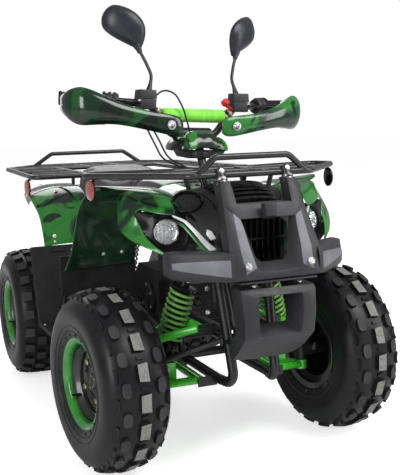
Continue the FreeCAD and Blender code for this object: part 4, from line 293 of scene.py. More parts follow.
MATS = {
    "camo": camouflage("camouflage", 0.0, 0.95, 0.012),
    # Lit copy of the camouflage: painted lighter for the faces that catch the light.
    "camo_painted_lit": camouflage("camouflage_painted_lit", 0.06, 1.0, 0.03),
    # Shaded copy of the camouflage: painted darker and more even for the fender skirts and lips in shade.
    "camo_painted_shade": camouflage("camouflage_painted_shade", 0.04, 0.36, 0.12),
    "black": moulded("black_moulding", (0.017, 0.017, 0.020), 0.48),
    # Grey copy of the black moulding: painted highlight where the guard's faces catch the light.
    "facet_painted_lit": moulded("moulding_painted_lit", (0.120, 0.120, 0.140), 0.44, 700),
    "gloss": moulded("gloss_black", (0.004, 0.004, 0.005), 0.22, 500, 0.05, 0.16),
    "flap": rubber("flap_rubber", (0.006, 0.006, 0.007), 0.62, 0.08),
    "rack": painted("satin_black_steel", (0.014, 0.014, 0.016), 0.30),
    "frame": painted("frame_black", (0.005, 0.005, 0.006), 0.40),
    "lime": painted("lime_paint", (0.055, 0.56, 0.030), 0.24, 0.6),
    "rim": painted("rim_black", (0.010, 0.011, 0.010), 0.34, 0.3),
    "rim_lip": painted("rim_green", (0.016, 0.20, 0.014), 0.26, 0.5),
    "spring": painted("spring_green", (0.13, 0.34, 0.060), 0.34, 0.3),
    "tyre": rubber("tyre_rubber", (0.0040, 0.0040, 0.0050), 0.33, 0.04),
    # Pale tops of the front tyres' middle blocks: painted highlight.
    "lug": painted_lug_highlight(),
    "iron": painted("cast_black", (0.010, 0.010, 0.011), 0.50, 0, 0.3),
    "zinc": metal("bright_zinc", (0.72, 0.72, 0.70), 0.26),
    "steel": metal("oiled_steel", (0.36, 0.36, 0.37), 0.36, 60, 0.8),
    "exhaust": painted("heat_black", (0.022, 0.021, 0.020), 0.52, 0, 0.2),
    "vinyl": vinyl(),
    "grip": rubber("grip_rubber", (0.008, 0.008, 0.009), 0.66, 0.05, 500),
    "pad": pad_cloth(),
    "lens": clear_lens(),
    "chrome": mirror_bright("lamp_reflector", (0.90, 0.91, 0.92), 0.05),
    "glass": mirror_bright("looking_glass", (0.55, 0.60, 0.64), 0.02),
    "red": prism_lens("red_reflector", (0.165, 0.017, 0.007)),
    "red_plastic": moulded("red_plastic", (0.55, 0.015, 0.012), 0.34, 500, 0.1),
    "mesh": mesh_texture(),
    "casing": painted("casing_black", (0.008, 0.008, 0.009), 0.46, 0, 0.25),
    "mirror_shell": moulded("mirror_shell", (0.012, 0.013, 0.020), 0.34, 800, 0.03),
    # Lighter rubber with a heavy pale mix on the other blocks' tops: painted highlight.
    "lug_side": rubber("lug_rubber", (0.016, 0.016, 0.018), 0.50, 0.30, 500),
    "zinc_dull": metal("passivated_zinc", (0.46, 0.40, 0.26), 0.34),
    "bulb": mirror_bright("bulb_glass", (0.85, 0.84, 0.78), 0.10),
    # Near-black matte fill: painted shade for the depth of openings.
    "painted_depth_shade": moulded("mouth_painted_shade", (0.004, 0.004, 0.004), 0.85, 300, 0.2),
    "hose": rubber("hose_rubber", (0.010, 0.010, 0.011), 0.48, 0.06, 400),
    # Silver trim on the lamp strips; on the handguard lips it is painted highlight.
    "strip": painted("silver_strip_and_painted_highlight", (0.62, 0.63, 0.64), 0.22, 0.5),
}


# Stage, light and camera

FLOOR_SIZE = 60
FLOOR_GLOW = 0.62
WORLD_LEVEL = 0.42
LAMP_TARGET = Vector((0, 0, 0.5))
LAMPS = (("key", (2.6, 1.6, 3.6), 2.0, 2.0, 120), ("side", (2.9, -3.3, 1.9), 1.1, 2.6, 95),
         ("far_side", (2.6, 3.4, 1.9), 1.1, 2.4, 60), ("rear", (-3.4, 0.4, 3.0), 2.4, 2.4, 60))


def floor():
    """White floor that keeps the shadow, with a glow that only the camera sees."""
    bpy.ops.mesh.primitive_plane_add(size=FLOOR_SIZE)
    item = bpy.context.object
    item.name = "floor"
    g = Graph("floor")
    speckle = g.ramp(g.noise(3, 3, 0.5), [(0.3, (0.86, 0.86, 0.86)), (0.7, (0.88, 0.88, 0.88))])
    g.finish(speckle, 0.9, Specular_IOR_Level=0.0)
    glow = g.node("Emission", Color=(1, 1, 1),
                  Strength=g.maths("MULTIPLY", g.node("LightPath").outputs["Is Camera Ray"], FLOOR_GLOW))
    both = g.node("AddShader")
    g.put(both.inputs[0], g.shader.outputs[0])
    g.put(both.inputs[1], glow.outputs[0])
    g.put(g.tree.nodes["Material Output"].inputs["Surface"], both.outputs[0])
    item.data.materials.append(g.mat)


def light():
    """Plain soft studio light. The world is white where the camera sees it and dimmer for the object."""
    world = bpy.data.worlds.new("studio")
    bpy.context.scene.world = world
    world.use_nodes = True
    tree = world.node_tree
    back = tree.nodes["Background"]
    back.inputs["Color"].default_value = (1, 1, 1, 1)
    rays, seen, level = (tree.nodes.new("ShaderNode" + kind) for kind in ("LightPath", "Math", "MapRange"))
    seen.operation = "MAXIMUM"
    level.inputs["To Min"].default_value = WORLD_LEVEL
    for out, into in ((rays.outputs["Is Camera Ray"], seen.inputs[0]),
                      (rays.outputs["Is Transmission Ray"], seen.inputs[1]),
                      (seen.outputs[0], level.inputs["Value"]), (level.outputs[0], back.inputs["Strength"])):
        tree.links.new(out, into)
    for name, place, wide, tall, power in LAMPS:
        lamp = bpy.data.lights.new(name, "AREA")
        lamp.shape = "RECTANGLE"
        lamp.size, lamp.size_y, lamp.energy = wide, tall, power
        item = bpy.data.objects.new(name, lamp)
        item.location = place
        item.rotation_euler = (LAMP_TARGET - Vector(place)).to_track_quat("-Z", "Y").to_euler()
        bpy.context.scene.collection.objects.link(item)


PICTURE_HEIGHT = 475
SENSOR = 36
YAW, PITCH, ROLL = 0.40136, 0.13423, -0.02713
FOCAL_PIXELS = 852.05
CENTRE_SHIFT = (0.56, -2.65)
CAMERA_PLACE = Vector((2.0952 + AXLE, -0.9537, 0.9057))


def camera():
    """Camera at the photograph's place, turn and focal length."""
    ahead = Vector((-math.cos(YAW) * math.cos(PITCH), math.sin(YAW) * math.cos(PITCH), -math.sin(PITCH)))
    right = ahead.cross(UP).normalized()
    up = right.cross(ahead)
    turned_right = math.cos(ROLL) * right + math.sin(ROLL) * up
    turned_up = -math.sin(ROLL) * right + math.cos(ROLL) * up
    lens = bpy.data.cameras.new("camera")
    item = bpy.data.objects.new("camera", lens)
    bpy.context.scene.collection.objects.link(item)
    matrix = Matrix((turned_right, turned_up, -ahead)).transposed().to_4x4()
    matrix.translation = CAMERA_PLACE
    item.matrix_world = matrix
    lens.sensor_width = SENSOR
    lens.lens = SENSOR * FOCAL_PIXELS / PICTURE_HEIGHT
    lens.shift_x, lens.shift_y = (shift / PICTURE_HEIGHT for shift in CENTRE_SHIFT)
    bpy.context.scene.camera = item


floor()
light()
camera()
bpy.context.scene.view_settings.view_transform = "Standard"


# Materials of the carried-over pieces

DRESS = {
    "camo": ["front_cowl", "front_fenders", "rear_body", "tank_cover", "handguards", "dash_pod"],
    "black": ["bumper", "skid_plate"],
    "flap": ["fender_flaps", "footwells"],
    "mesh": ["grille"],
    "rack": ["front_rack", "rear_rack", "handlebar", "mirrors", "levers"],
    "frame": ["frame", "steering_column", "swingarm", "front_shocks", "rear_shock", "tie_rod_left",
              "tie_rod_right"],
    "lime": ["upper_arms", "lower_arms"],
    "spring": ["front_springs"],
    "rim": ["front_rim_left", "front_rim_right", "rear_rims"],
    "casing": ["engine"],
    "hose": ["cables"],
    "iron": ["knuckle_left", "knuckle_right"],
    "exhaust": ["exhaust"],
    "steel": ["rear_axle", "chain"],
    "tyre": ["front_tyre_left", "front_tyre_right", "rear_tyres"],
    "grip": ["grips"],
    "pad": ["crossbar_pad"],
    "vinyl": ["seat"],
    "lens": ["headlamps"],
    "red": ["reflectors", "tail_lamp"],
}


for mat_name, node_names in DRESS.items():
    for node_name in node_names:
        slots = NODES[node_name].data.materials
        slots.clear()
        slots.append(MATS[mat_name])


# Mesh helpers. Places are in millimetres as said above, vectors and routes in metres.

def at(ahead, half, height):
    return Vector((ahead * MM + AXLE, half * MM, height * MM))


def points(rows):
    return [at(*row) for row in rows]


def sheet(rows):
    return [points(row) for row in rows]


def upright(ahead, near, far, low, high):
    """Corners of a rectangle that faces forward."""
    return points([(ahead, near, low), (ahead, far, low), (ahead, far, high), (ahead, near, high)])


def way(x, y, z):
    return Vector((x, y, z)).normalized()


def axes_of(axis, toward):
    """Two directions square to an axis and to each other."""
    side = axis.cross(toward).normalized()
    return side, axis.cross(side)


def spoke(side, other, turn):
    """The direction at an angle round the axis that two others are square to."""
    return side * math.cos(turn) + other * math.sin(turn)


WASHER = (((0, 0), (0, 0.72), (0.10, 0.72), (0.12, 0.5), (0.12, 0)), 20)
BOLT_SHAPES = {
    "hex": (WASHER, (((0.1, 0), (0.1, 0.56), (0.42, 0.56), (0.52, 0.46), (0.52, 0)), 6)),
    "dome": (WASHER,
             (((0.1, 0), (0.1, 0.5), (0.28, 0.46), (0.42, 0.30), (0.46, 0.18), (0.34, 0.15), (0.34, 0)), 16)),
}


WELD = 2e-5
BEVEL_FROM = math.radians(30)


class Build:
    """Vertices, faces and material slots of one piece."""

    def __init__(self):
        self.verts, self.faces, self.slots = [], [], []

    def add(self, verts, faces, slot=0):
        base = len(self.verts)
        self.verts += [Vector(vert) for vert in verts]
        self.faces += [[base + index for index in face] for face in faces]
        self.slots += [slot] * len(faces)

    def mirror(self):
        """Adds the mirror image about the middle plane."""
        base = len(self.verts)
        self.verts += [Vector((vert.x, -vert.y, vert.z)) for vert in self.verts]
        self.faces += [[base + index for index in reversed(face)] for face in self.faces]
        self.slots += self.slots

    def grid(self, rows, slot=0, closed=False, ends=False):
        """Quads between rows of equally many points. Closed joins each row's ends."""
        wide = len(rows[0])
        faces = []
        for r in range(len(rows) - 1):
            for c in range(wide if closed else wide - 1):
                n = (c + 1) % wide
                faces.append([r * wide + c, r * wide + n, (r + 1) * wide + n, (r + 1) * wide + c])
        if ends:
            faces.append(list(reversed(range(wide))))
            faces.append([(len(rows) - 1) * wide + c for c in range(wide)])
        self.add([vert for row in rows for vert in row], faces, slot)

    def revolve(self, profile, centre, axis, steps=64, slot=0, closed=True):
        """Profile of (along, radius) in millimetres turned about the axis."""
        axis = axis.normalized()
        side, other = axes_of(axis, FORE if abs(axis.x) < 0.8 else UP)
        rows = []
        for step in range(steps):
            ray = spoke(side, other, 2 * math.pi * step / steps)
            rows.append([centre + axis * (along * MM) + ray * (radius * MM) for along, radius in profile])
        self.grid(rows + rows[:1], slot, closed)

    def tube(self, route, radius, sides=12, slot=0, caps=True, squash=1.0):
        """Round section of a radius, or of one radius a point, carried along a route of points."""
        count = len(route)
        radii = radius if isinstance(radius, (list, tuple)) else [radius] * count
        before = (route[1] - route[0]).normalized()
        side = before.cross(UP if abs(before.z) < 0.9 else FORE).normalized()
        rows = []
        for index, place in enumerate(route):
            ahead = (route[min(index + 1, count - 1)] - route[max(index - 1, 0)]).normalized()
            side = (side - ahead * side.dot(ahead)).normalized()
            other = ahead.cross(side)
            row = []
            for step in range(sides):
                turn = 2 * math.pi * step / sides
                ray = side * math.cos(turn) + other * (math.sin(turn) * squash)
                row.append(place + ray * (radii[index] * MM))
            rows.append(row)
        self.grid(rows, slot, True, caps)

    def block(self, corners, depth, slot=0, taper=1.0):
        """A closed block on a loop of corners, raised by a vector, its far end drawn in."""
        count = len(corners)
        middle = sum(corners, Vector()) / count
        far = [middle + (corner - middle) * taper + depth for corner in corners]
        faces = [list(reversed(range(count))), list(range(count, 2 * count))]
        faces += [[i, (i + 1) % count, count + (i + 1) % count, count + i] for i in range(count)]
        self.add(list(corners) + far, faces, slot)

    def disc(self, place, axis, shape, slot=0, steps=24):
        """Closed turned form, such as a bolt head, from (along, radius) pairs that end on the axis."""
        self.revolve(shape, place, axis, steps, slot, False)

    def bolt(self, place, axis, size, slot=0, style="hex"):
        """Head and washer of a screw of that size across, standing on the place."""
        for shape, steps in BOLT_SHAPES[style]:
            self.disc(place, axis, [(size * along, size * radius) for along, radius in shape], slot, steps)

    def piece(self, name, mats, body="chassis", nodes=(), thick=0.0, bevel=0.0, subdiv=0, angle=34, shift=0.0,
              turn=None):
        """Object of this form that rides on a body. Walls and bevels are in millimetres."""
        mesh = bpy.data.meshes.new(name)
        mesh.from_pydata([turn @ vert for vert in self.verts] if turn else self.verts, [], self.faces)
        for name_of in mats:
            mesh.materials.append(MATS[name_of])
        for polygon, slot in zip(mesh.polygons, self.slots):
            polygon.material_index = slot
        work = bmesh.new()
        work.from_mesh(mesh)
        bmesh.ops.remove_doubles(work, verts=work.verts, dist=WELD)
        bmesh.ops.recalc_face_normals(work, faces=work.faces)
        work.to_mesh(mesh)
        work.free()
        item = bpy.data.objects.new(name, mesh)
        bpy.context.scene.collection.objects.link(item)
        if thick:
            shell = item.modifiers.new("shell", "SOLIDIFY")
            shell.thickness = thick * MM
            shell.offset = shift
            shell.use_even_offset = False
        if bevel:
            edge = item.modifiers.new("edge", "BEVEL")
            edge.width = bevel * MM
            edge.segments = 2
            edge.limit_method = "ANGLE"
            edge.angle_limit = BEVEL_FROM
        if subdiv:
            smooth = item.modifiers.new("smooth", "SUBSURF")
            smooth.levels = smooth.render_levels = subdiv
        if item.modifiers:
            settle(item)
        item.data.polygons.foreach_set("use_smooth", [True] * len(item.data.polygons))
        item.data.set_sharp_from_angle(angle=math.radians(angle))
        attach(item, body)
        if nodes:
            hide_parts(*([nodes] if isinstance(nodes, str) else nodes))
        return item


def mirror_all(*builds):
    for build in builds:
        build.mirror()


def settle(item):
    """Turns an object's modifiers into its mesh."""
    bpy.context.view_layer.update()
    done = bpy.data.meshes.new_from_object(item.evaluated_get(bpy.context.evaluated_depsgraph_get()))
    item.modifiers.clear()
    item.data = done


def curve(knots, steps=8, closed=False):
    """A smooth line through the knots."""
    count = len(knots)
    out = []
    for index in range(count if closed else count - 1):
        if closed:
            a, b, c, d = (knots[(index + shift) % count] for shift in (-1, 0, 1, 2))
        else:
            a, b = knots[max(index - 1, 0)], knots[index]
            c, d = knots[index + 1], knots[min(index + 2, count - 1)]
        for step in range(steps):
            u = step / steps
            out.append(0.5 * (2 * b + (c - a) * u + (2 * a - 5 * b + 4 * c - d) * u ** 2
                              + (3 * b - a - 3 * c + d) * u ** 3))
    if not closed:
        out.append(knots[-1].copy())
    return out


BEND_STEPS = 5


def bent(corners, radius):
    """Straight runs with rounded corners."""
    out = [corners[0]]
    for before, corner, after in zip(corners, corners[1:], corners[2:]):
        reach = min(radius * MM, (before - corner).length * 0.48, (after - corner).length * 0.48)
        one = corner + (before - corner).normalized() * reach
        two = corner + (after - corner).normalized() * reach
        for step in range(BEND_STEPS + 1):
            u = step / BEND_STEPS
            out.append(one * (1 - u) ** 2 + corner * 2 * u * (1 - u) + two * u ** 2)
    out.append(corners[-1])
    return out


# Tyres and rims

def hub_of(joint):
    return Vector(JOINTS[joint]["pos_m"]), Vector(JOINTS[joint]["axis"]).normalized()


def on_profile(profile, across):
    """Radius and outward tilt of a tyre's skin at a distance across from its middle."""
    side = sorted(profile)
    for (a, r), (b, q) in zip(side, side[1:]):
        if a <= abs(across) <= b and b > a:
            share = (abs(across) - a) / (b - a)
            return r + (q - r) * share, math.copysign(math.atan2(r - q, b - a), across)
    return side[-1][1], 0.0


TURN_STEPS = 120
TREAD_SEED, TREAD_WEAR, TREAD_ROOT = 7, 0.05, -2.5
BLOCK_SPLAY, BLOCK_ROUND = 0.06, 0.7
CARCASS_WALL = ((3, -4), (7, 2))


def tyre(name, node, body, centre, axis, carcass, ribs, rows):
    """Carcass with its tread of separate blocks.

    Each of the rows says across, long, wide, high, count, phase, sides, slot and draw.
    """
    build = Build()
    crown = [(point.x, point.y) for point in curve([Vector((*pair, 0)) for pair in carcass], 3)]
    bead, bead_radius = carcass[0]
    inner = [(bead - inward, bead_radius + rise) for inward, rise in CARCASS_WALL]
    loop = inner[::-1] + crown + [(-a, r) for a, r in crown[::-1][1:]] + [(-a, r) for a, r in inner]
    build.revolve(loop, centre, axis, TURN_STEPS)
    for along, radius, high, wide in ribs:
        for side in (1, -1):
            foot, peak = side * (along - wide * 0.1), side * (along + high)
            lip = [(foot, radius - wide), (peak, radius - wide * 0.35), (peak, radius + wide * 0.35),
                   (foot, radius + wide)]
            build.revolve(lip, centre, axis, TURN_STEPS)
    side_way, up_way = axes_of(axis, FORE)
    chance = random.Random(TREAD_SEED)
    for across, long, wide, high, count, phase, sides, slot, draw in rows:
        radius, tilt = on_profile(crown, across)
        for index in range(count):
            middle = 2 * math.pi * (index + phase) / count
            jitter = chance.uniform(-TREAD_WEAR, TREAD_WEAR)
            foot, top = [], []
            for corner in range(sides):
                if sides == 4:
                    u, v = (1, 1, -1, -1)[corner], (1, -1, -1, 1)[corner]
                    u *= 1 + BLOCK_SPLAY * v * (1 if across >= 0 else -1)
                else:
                    turn = 2 * math.pi * (corner + 0.5) / sides
                    u, v = (math.copysign(abs(part) ** BLOCK_ROUND, part)
                            for part in (math.cos(turn), math.sin(turn)))
                for reach, level, bag in ((1.0, TREAD_ROOT, foot), (draw, high * (1 + jitter), top)):
                    place = across + v * wide / 2 * reach * math.cos(tilt)
                    skin, lean = on_profile(crown, place)
                    ray = spoke(side_way, up_way, middle + u * long / 2 * reach / radius)
                    normal = ray * math.cos(lean) + axis * math.sin(lean)
                    bag.append(centre + axis * (place * MM) + ray * (skin * MM) + normal * (level * MM))
            build.grid([foot, top], 0, True)
            # Top faces in slot 1 or 2 take paler rubber as painted highlight.
            build.add(top, [list(range(sides))], slot)
    return build.piece(name, ["tyre", "lug", "lug_side"], body, node)


def both_sides(rows):
    """Rows of blocks, each one off the middle followed by its twin on the other side."""
    out = []
    for row in rows:
        out += [row, (-row[0], *row[1:])] if row[0] else [row]
    return out


FRONT_CARCASS = [(71, 108), (76, 116), (81, 126), (86, 142), (89, 160), (89.5, 178), (86.5, 193), (80, 205),
                 (70, 215), (56, 222.5), (38, 227.5), (19, 229.6), (0, 230.2)]
FRONT_ROWS = both_sides([(0, 45, 27, 11.0, 20, 0.0, 4, 1, 0.93), (0, 9, 19, 4.5, 20, 0.5, 4, 0, 0.9),
                         (44, 41, 25, 9.0, 20, 0.5, 10, 2, 0.88), (69, 38, 24, 6.5, 20, 0.0, 10, 0, 0.86),
                         (82, 20, 12, 3.0, 20, 0.5, 8, 0, 0.7)])
REAR_CARCASS = [(98, 108), (103, 118), (108, 128), (113, 142), (116, 156), (116.5, 170), (114, 184), (108, 196),
                (98, 205), (84, 211), (60, 215.5), (30, 217.6), (0, 218)]
REAR_ROWS = both_sides([(0, 30, 34, 10.5, 22, 0.0, 4, 2, 0.90), (40, 32, 31, 10.5, 22, 0.5, 4, 2, 0.90),
                        (78, 32, 32, 10.0, 22, 0.0, 4, 2, 0.90), (103, 34, 18, 7.0, 22, 0.5, 4, 0, 0.85)])
REAR_ROWS += [(20, 9, 14, 4.0, 22, 0.25, 4, 0, 0.9), (-20, 9, 14, 4.0, 22, 0.75, 4, 0, 0.9)]
FRONT_RIBS = [(84.5, 137, 1.6, 1.6), (87.8, 151, 1.2, 1.0)]
REAR_RIBS = [(111.5, 137, 1.6, 1.6), (114.8, 151, 1.2, 1.0)]

RIM_LIP = [(-5, 104.5), (1, 113), (2.5, 117), (1.5, 119.5), (-1.5, 119.5), (-3, 116.5), (-4.5, 112), (-9, 107.5),
           (-17, 105), (-17, 101), (-9, 101.8)]
RIM_WELL = [(-17, 104.5), (-24, 103.5), (-30, 99), (-36, 92), (-37, 88.5), (-33, 90), (-27, 96.5), (-20, 100),
            (-17, 100.6)]
RIM_BACK = [(20, 86.5), (12, 98), (4, 103), (2, 116), (-1, 118.5), (-3, 117), (0.5, 102), (10, 98.5), (17, 84)]
RIM_DISH = [(-4, 84.5), (5, 82), (7, 72), (1, 62), (1, 44), (5, 38), (5, 22), (1, 22), (1, 36), (-3, 42), (-3, 62),
            (2.5, 72), (0.5, 79.5), (-8, 82.5)]
HUB_CAP = [(-20, 21.5), (10, 21.5), (14, 19), (15.5, 12), (12, 10), (12, 0)]
NUT = [(0, 12), (3, 12), (4, 9.5), (4, 8.6), (15, 8.6), (17, 7), (17, 4.2), (12, 4.0), (12, 0)]
NUT_TURN, NUT_RADIUS, DIMPLE_RADIUS = 0.5, 0.052, 0.064
VALVE_TURN, VALVE_RADIUS = 2.2, 0.092


def moved(profile, far):
    return [(far + along, radius) for along, radius in profile]


def rim(name, node, body, centre, axis, outward, half, dish_out):
    """Green outer lip, black barrel and dish, and four lug nuts round the hub's nose."""
    build = Build()
    out = axis * outward
    build.revolve(moved(RIM_LIP, half), centre, out, 72, 1)
    build.revolve(moved(RIM_WELL, half), centre, out, 72)
    barrel = [(half - 35, 89.5), (half - 36, 86.5), *moved(RIM_BACK, -half), (half - 36, 83.5)]
    build.revolve(barrel, centre, out, 72)
    build.revolve(moved(RIM_DISH, dish_out), centre, out, 60)
    build.disc(centre, out, moved(HUB_CAP, dish_out), 2, 32)
    side, other = axes_of(out, FORE)
    for index in range(4):
        turn = math.pi / 2 * index + NUT_TURN
        build.disc(centre + out * (dish_out * MM) + spoke(side, other, turn) * NUT_RADIUS, out, NUT, 3, 6)
        place = centre + out * ((dish_out + 2) * MM) + spoke(side, other, turn + math.pi / 4) * DIMPLE_RADIUS
        build.disc(place, out, [(1, 0), (1.5, 6), (4.5, 7.5), (4.5, 9.5), (-1, 10.5)], 0, 20)
    root = centre + out * ((half - 28) * MM) + spoke(side, other, VALVE_TURN) * VALVE_RADIUS
    tip = root + out * 0.026 - (root - centre - out * ((root - centre).dot(out))).normalized() * 0.008
    build.tube([root, root.lerp(tip, 0.5), tip], [4.6, 3.2, 3.0], 10, 4)
    return build.piece(name, ["rim", "rim_lip", "rim", "zinc_dull", "grip"], body, node, angle=30)


REAR_TYRE_HALF = 0.1175


def wheels():
    for word, side in SIDES:
        centre, axis = hub_of("front_wheel_spin_" + word)
        body = "front_wheel_" + word
        tyre(f"tyre_front_{word}", f"front_tyre_{word}", body, centre, axis, FRONT_CARCASS, FRONT_RIBS, FRONT_ROWS)
        rim(f"rim_front_{word}", f"front_rim_{word}", body, centre, axis, side, 76, 30)
    centre, axis = hub_of("rear_axle_spin")
    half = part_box("rear_tyres")[1].y - REAR_TYRE_HALF
    for word, side in SIDES:
        middle = centre + axis * (side * half)
        tyre(f"tyre_rear_{word}", "rear_tyres", "rear_wheelset", middle, axis, REAR_CARCASS, REAR_RIBS, REAR_ROWS)
        rim(f"rim_rear_{word}", "rear_rims", "rear_wheelset", middle, axis, side, 103, 52)


wheels()


# Front covers, lamps and bumper

COVER_WALL, GUARD_WALL = 3.2, 4.0


def front_fenders():
    """Panel beside the lamp painted lighter as lit, deck over the wheel, and the long skirt behind it painted
    darker as in shade, one moulding a side.
    """
    build = Build()
    panel = [[(165, 222, 571), (163, 225, 578), (160, 227, 584)],
             [(140, 249, 589), (138, 246, 593), (140, 241, 597)],
             [(110, 278, 600), (112, 268, 608), (115, 256, 617)],
             [(60, 309, 629), (74, 287, 636), (88, 262, 644)],
             [(40, 308, 656), (58, 290, 662), (78, 268, 668)],
             [(20, 299, 688), (46, 284, 684), (74, 269, 679)],
             [(4, 290, 712), (40, 274, 700), (80, 262, 686)],
             [(2, 290, 728), (46, 268, 712), (92, 248, 684)],
             [(28, 254, 729), (72, 236, 713), (118, 224, 674)],
             [(64, 214, 722), (96, 206, 706), (136, 200, 674)],
             [(110, 186, 706), (124, 184, 694), (146, 186, 672)]]
    # The panel beside the lamp takes the lit copy: painted light.
    build.grid(sheet(panel), 1)
    deck = [[(-38, 318, 740), (2, 290, 729), (28, 254, 729), (64, 214, 722), (110, 186, 706), (150, 168, 680)],
            [(-58, 327, 742), (-28, 290, 738), (-2, 250, 736), (20, 212, 734), (58, 180, 724), (100, 158, 706)],
            [(-78, 333, 740), (-72, 290, 739), (-66, 250, 737), (-60, 212, 736), (-44, 178, 733), (-24, 150, 727)],
            [(-128, 345, 707), (-136, 294, 714), (-142, 250, 717), (-146, 212, 718), (-148, 178, 718),
             (-150, 146, 714)],
            [(-178, 348, 660), (-186, 294, 668), (-192, 250, 674), (-196, 212, 677), (-198, 180, 679),
             (-200, 150, 677)],
            [(-210, 349, 602), (-218, 294, 612), (-224, 252, 620), (-228, 214, 622), (-230, 186, 622),
             (-231, 158, 620)],
            [(-234, 353, 546), (-240, 298, 552), (-243, 254, 556), (-245, 216, 558), (-246, 190, 558),
             (-246, 166, 556)],
            [(-244, 366, 514), (-248, 306, 516), (-250, 258, 518), (-251, 220, 519), (-251, 194, 519),
             (-251, 172, 518)],
            [(-247, 374, 494), (-250, 310, 494), (-252, 260, 495), (-253, 222, 496), (-253, 196, 496),
             (-253, 174, 496)]]
    build.grid(sheet(deck[:4]))
    # The skirt and its lip take the shaded copy: painted shade.
    build.grid(sheet(deck[3:]), 2)
    lip = [[(x, y, z), (x - 5, y + 5, z - 5), (x - 12, y + 3, z - 13)] for (x, y, z), *_ in deck]
    build.grid(sheet(lip), 2)
    build.mirror()
    studs = Build()
    for ahead, half in ((-246, 206), (-246, 262), (-244, 330)):
        studs.bolt(at(ahead, half, 532), Vector((1, 0, 0.1)), 8, 0, "dome")
    studs.mirror()
    studs.piece("fender_studs", ["zinc"])
    build.piece("fenders_front", ["camo", "camo_painted_lit", "camo_painted_shade"], nodes="front_fenders", thick=COVER_WALL,
                subdiv=2, angle=60)


LENS = (118, 204, 630)
LENS_AXIS = way(0.97, 0.22, 0.10)


def lamps():
    """Round lamps in almond-shaped black pods, with a bright strip along the nose."""
    pods, bowls, lens, strips = Build(), Build(), Build(), Build()
    centre, axis = at(*LENS), LENS_AXIS
    side = axis.cross(UP).normalized()
    up = side.cross(axis)
    edge = curve(points([(76, 270, 679), (118, 226, 669), (140, 200, 671), (153, 178, 660), (180, 160, 634),
                         (196, 150, 606), (188, 164, 588), (168, 200, 578), (142, 240, 594), (114, 257, 614),
                         (84, 264, 645)]), 4, True)
    rings = [edge]
    for radius, back, hold in ((50, -6, 0.45), (38, 2, 0.0), (35, 3, 0.0), (32.6, -1, 0.0), (31.6, -16, 0.0)):
        row = []
        for place in edge:
            ray = place - centre
            ray = (ray - axis * ray.dot(axis)).normalized()
            row.append((centre + ray * (radius * MM) + axis * (back * MM)).lerp(place, hold * 0.5))
        rings.append(row)
    pods.grid(rings, 0, True)
    pods.grid([edge, [place - FORE * 0.030 for place in edge]], 0, True)
    bowls.disc(centre, axis, [(-2, 31), (-10, 30), (-20, 26.5), (-28, 20), (-32, 12), (-33, 0)], 0, 48)
    for ring in (23, 17, 11):
        floor_at = -24 - (26 - ring) * 0.45
        ridge = [(floor_at, ring + 1.6), (-20 - (26 - ring) * 0.45, ring), (floor_at, ring - 1.6)]
        bowls.disc(centre, axis, ridge, 0, 48)
    bowls.disc(centre, axis, [(-33, 6.5), (-16, 6.5), (-12, 5.5), (-8, 3.4), (-7, 0)], 1, 20)
    for index in range(6):
        ray = spoke(side, up, math.pi / 3 * index + 0.3)
        bowls.tube([centre + ray * 0.012 - axis * 0.028, centre + ray * 0.031 - axis * 0.012], [1.2, 0.8], 6)
    glass = [(-2, 31.4), (2, 30.8), (5.5, 26), (8.5, 18), (10.3, 9), (10.8, 0), (9.2, 0), (8.8, 9), (7.0, 17.6),
             (4.2, 25), (0.5, 29.8), (-2.5, 30.4)]
    lens.disc(centre, axis, glass, 0, 48)
    strip = curve(points([(136, 194, 671), (150, 183, 665), (165, 171, 657), (182, 159, 640), (194, 149, 625),
                          (206, 137, 607), (222, 121, 588)]), 4)
    out = way(0.86, 0.42, 0.28)
    rows, patch = [], []
    for index, spot in enumerate(strip):
        share = index / (len(strip) - 1)
        wide = (2.4 + 5.6 * share) * MM
        run = (strip[min(index + 1, len(strip) - 1)] - strip[max(index - 1, 0)]).normalized()
        over = run.cross(out).normalized()
        rows.append([spot - over * wide - out * 0.002, spot - over * wide * 0.8 + out * 0.0035,
                     spot + over * wide * 0.8 + out * 0.0035, spot + over * wide - out * 0.002])
        # A green edge beside the strip in the lit camouflage copy: painted light.
        green = spot - over * (wide + 0.0065)
        patch.append([green - over * 0.0035 - out * 0.002, green - over * 0.003 + out * 0.002,
                      green + over * 0.003 + out * 0.002, green + over * 0.0035 - out * 0.002])
    strips.grid(rows, 0, True, True)
    strips.grid(patch, 1, True, True)
    corner = points([(196, 128, 640), (206, 118, 634), (214, 110, 616), (210, 124, 612), (201, 132, 626)])
    strips.block(corner, out * 0.004, 0, 0.9)
    mirror_all(pods, bowls, lens, strips)
    pods.piece("lamp_pods", ["gloss"], thick=2.0, angle=40)
    bowls.piece("lamp_bowls", ["chrome", "bulb"], nodes="headlamps", angle=40)
    lens.piece("lamp_lenses", ["lens"], angle=50)
    strips.piece("lamp_strips", ["strip", "camo_painted_lit"], bevel=0.6, angle=50)


SLAT = ((-0.007, 0, 0.001), (-0.001, 0, 0.006), (0.006, 0, 0.001), (0.003, 0, -0.006))


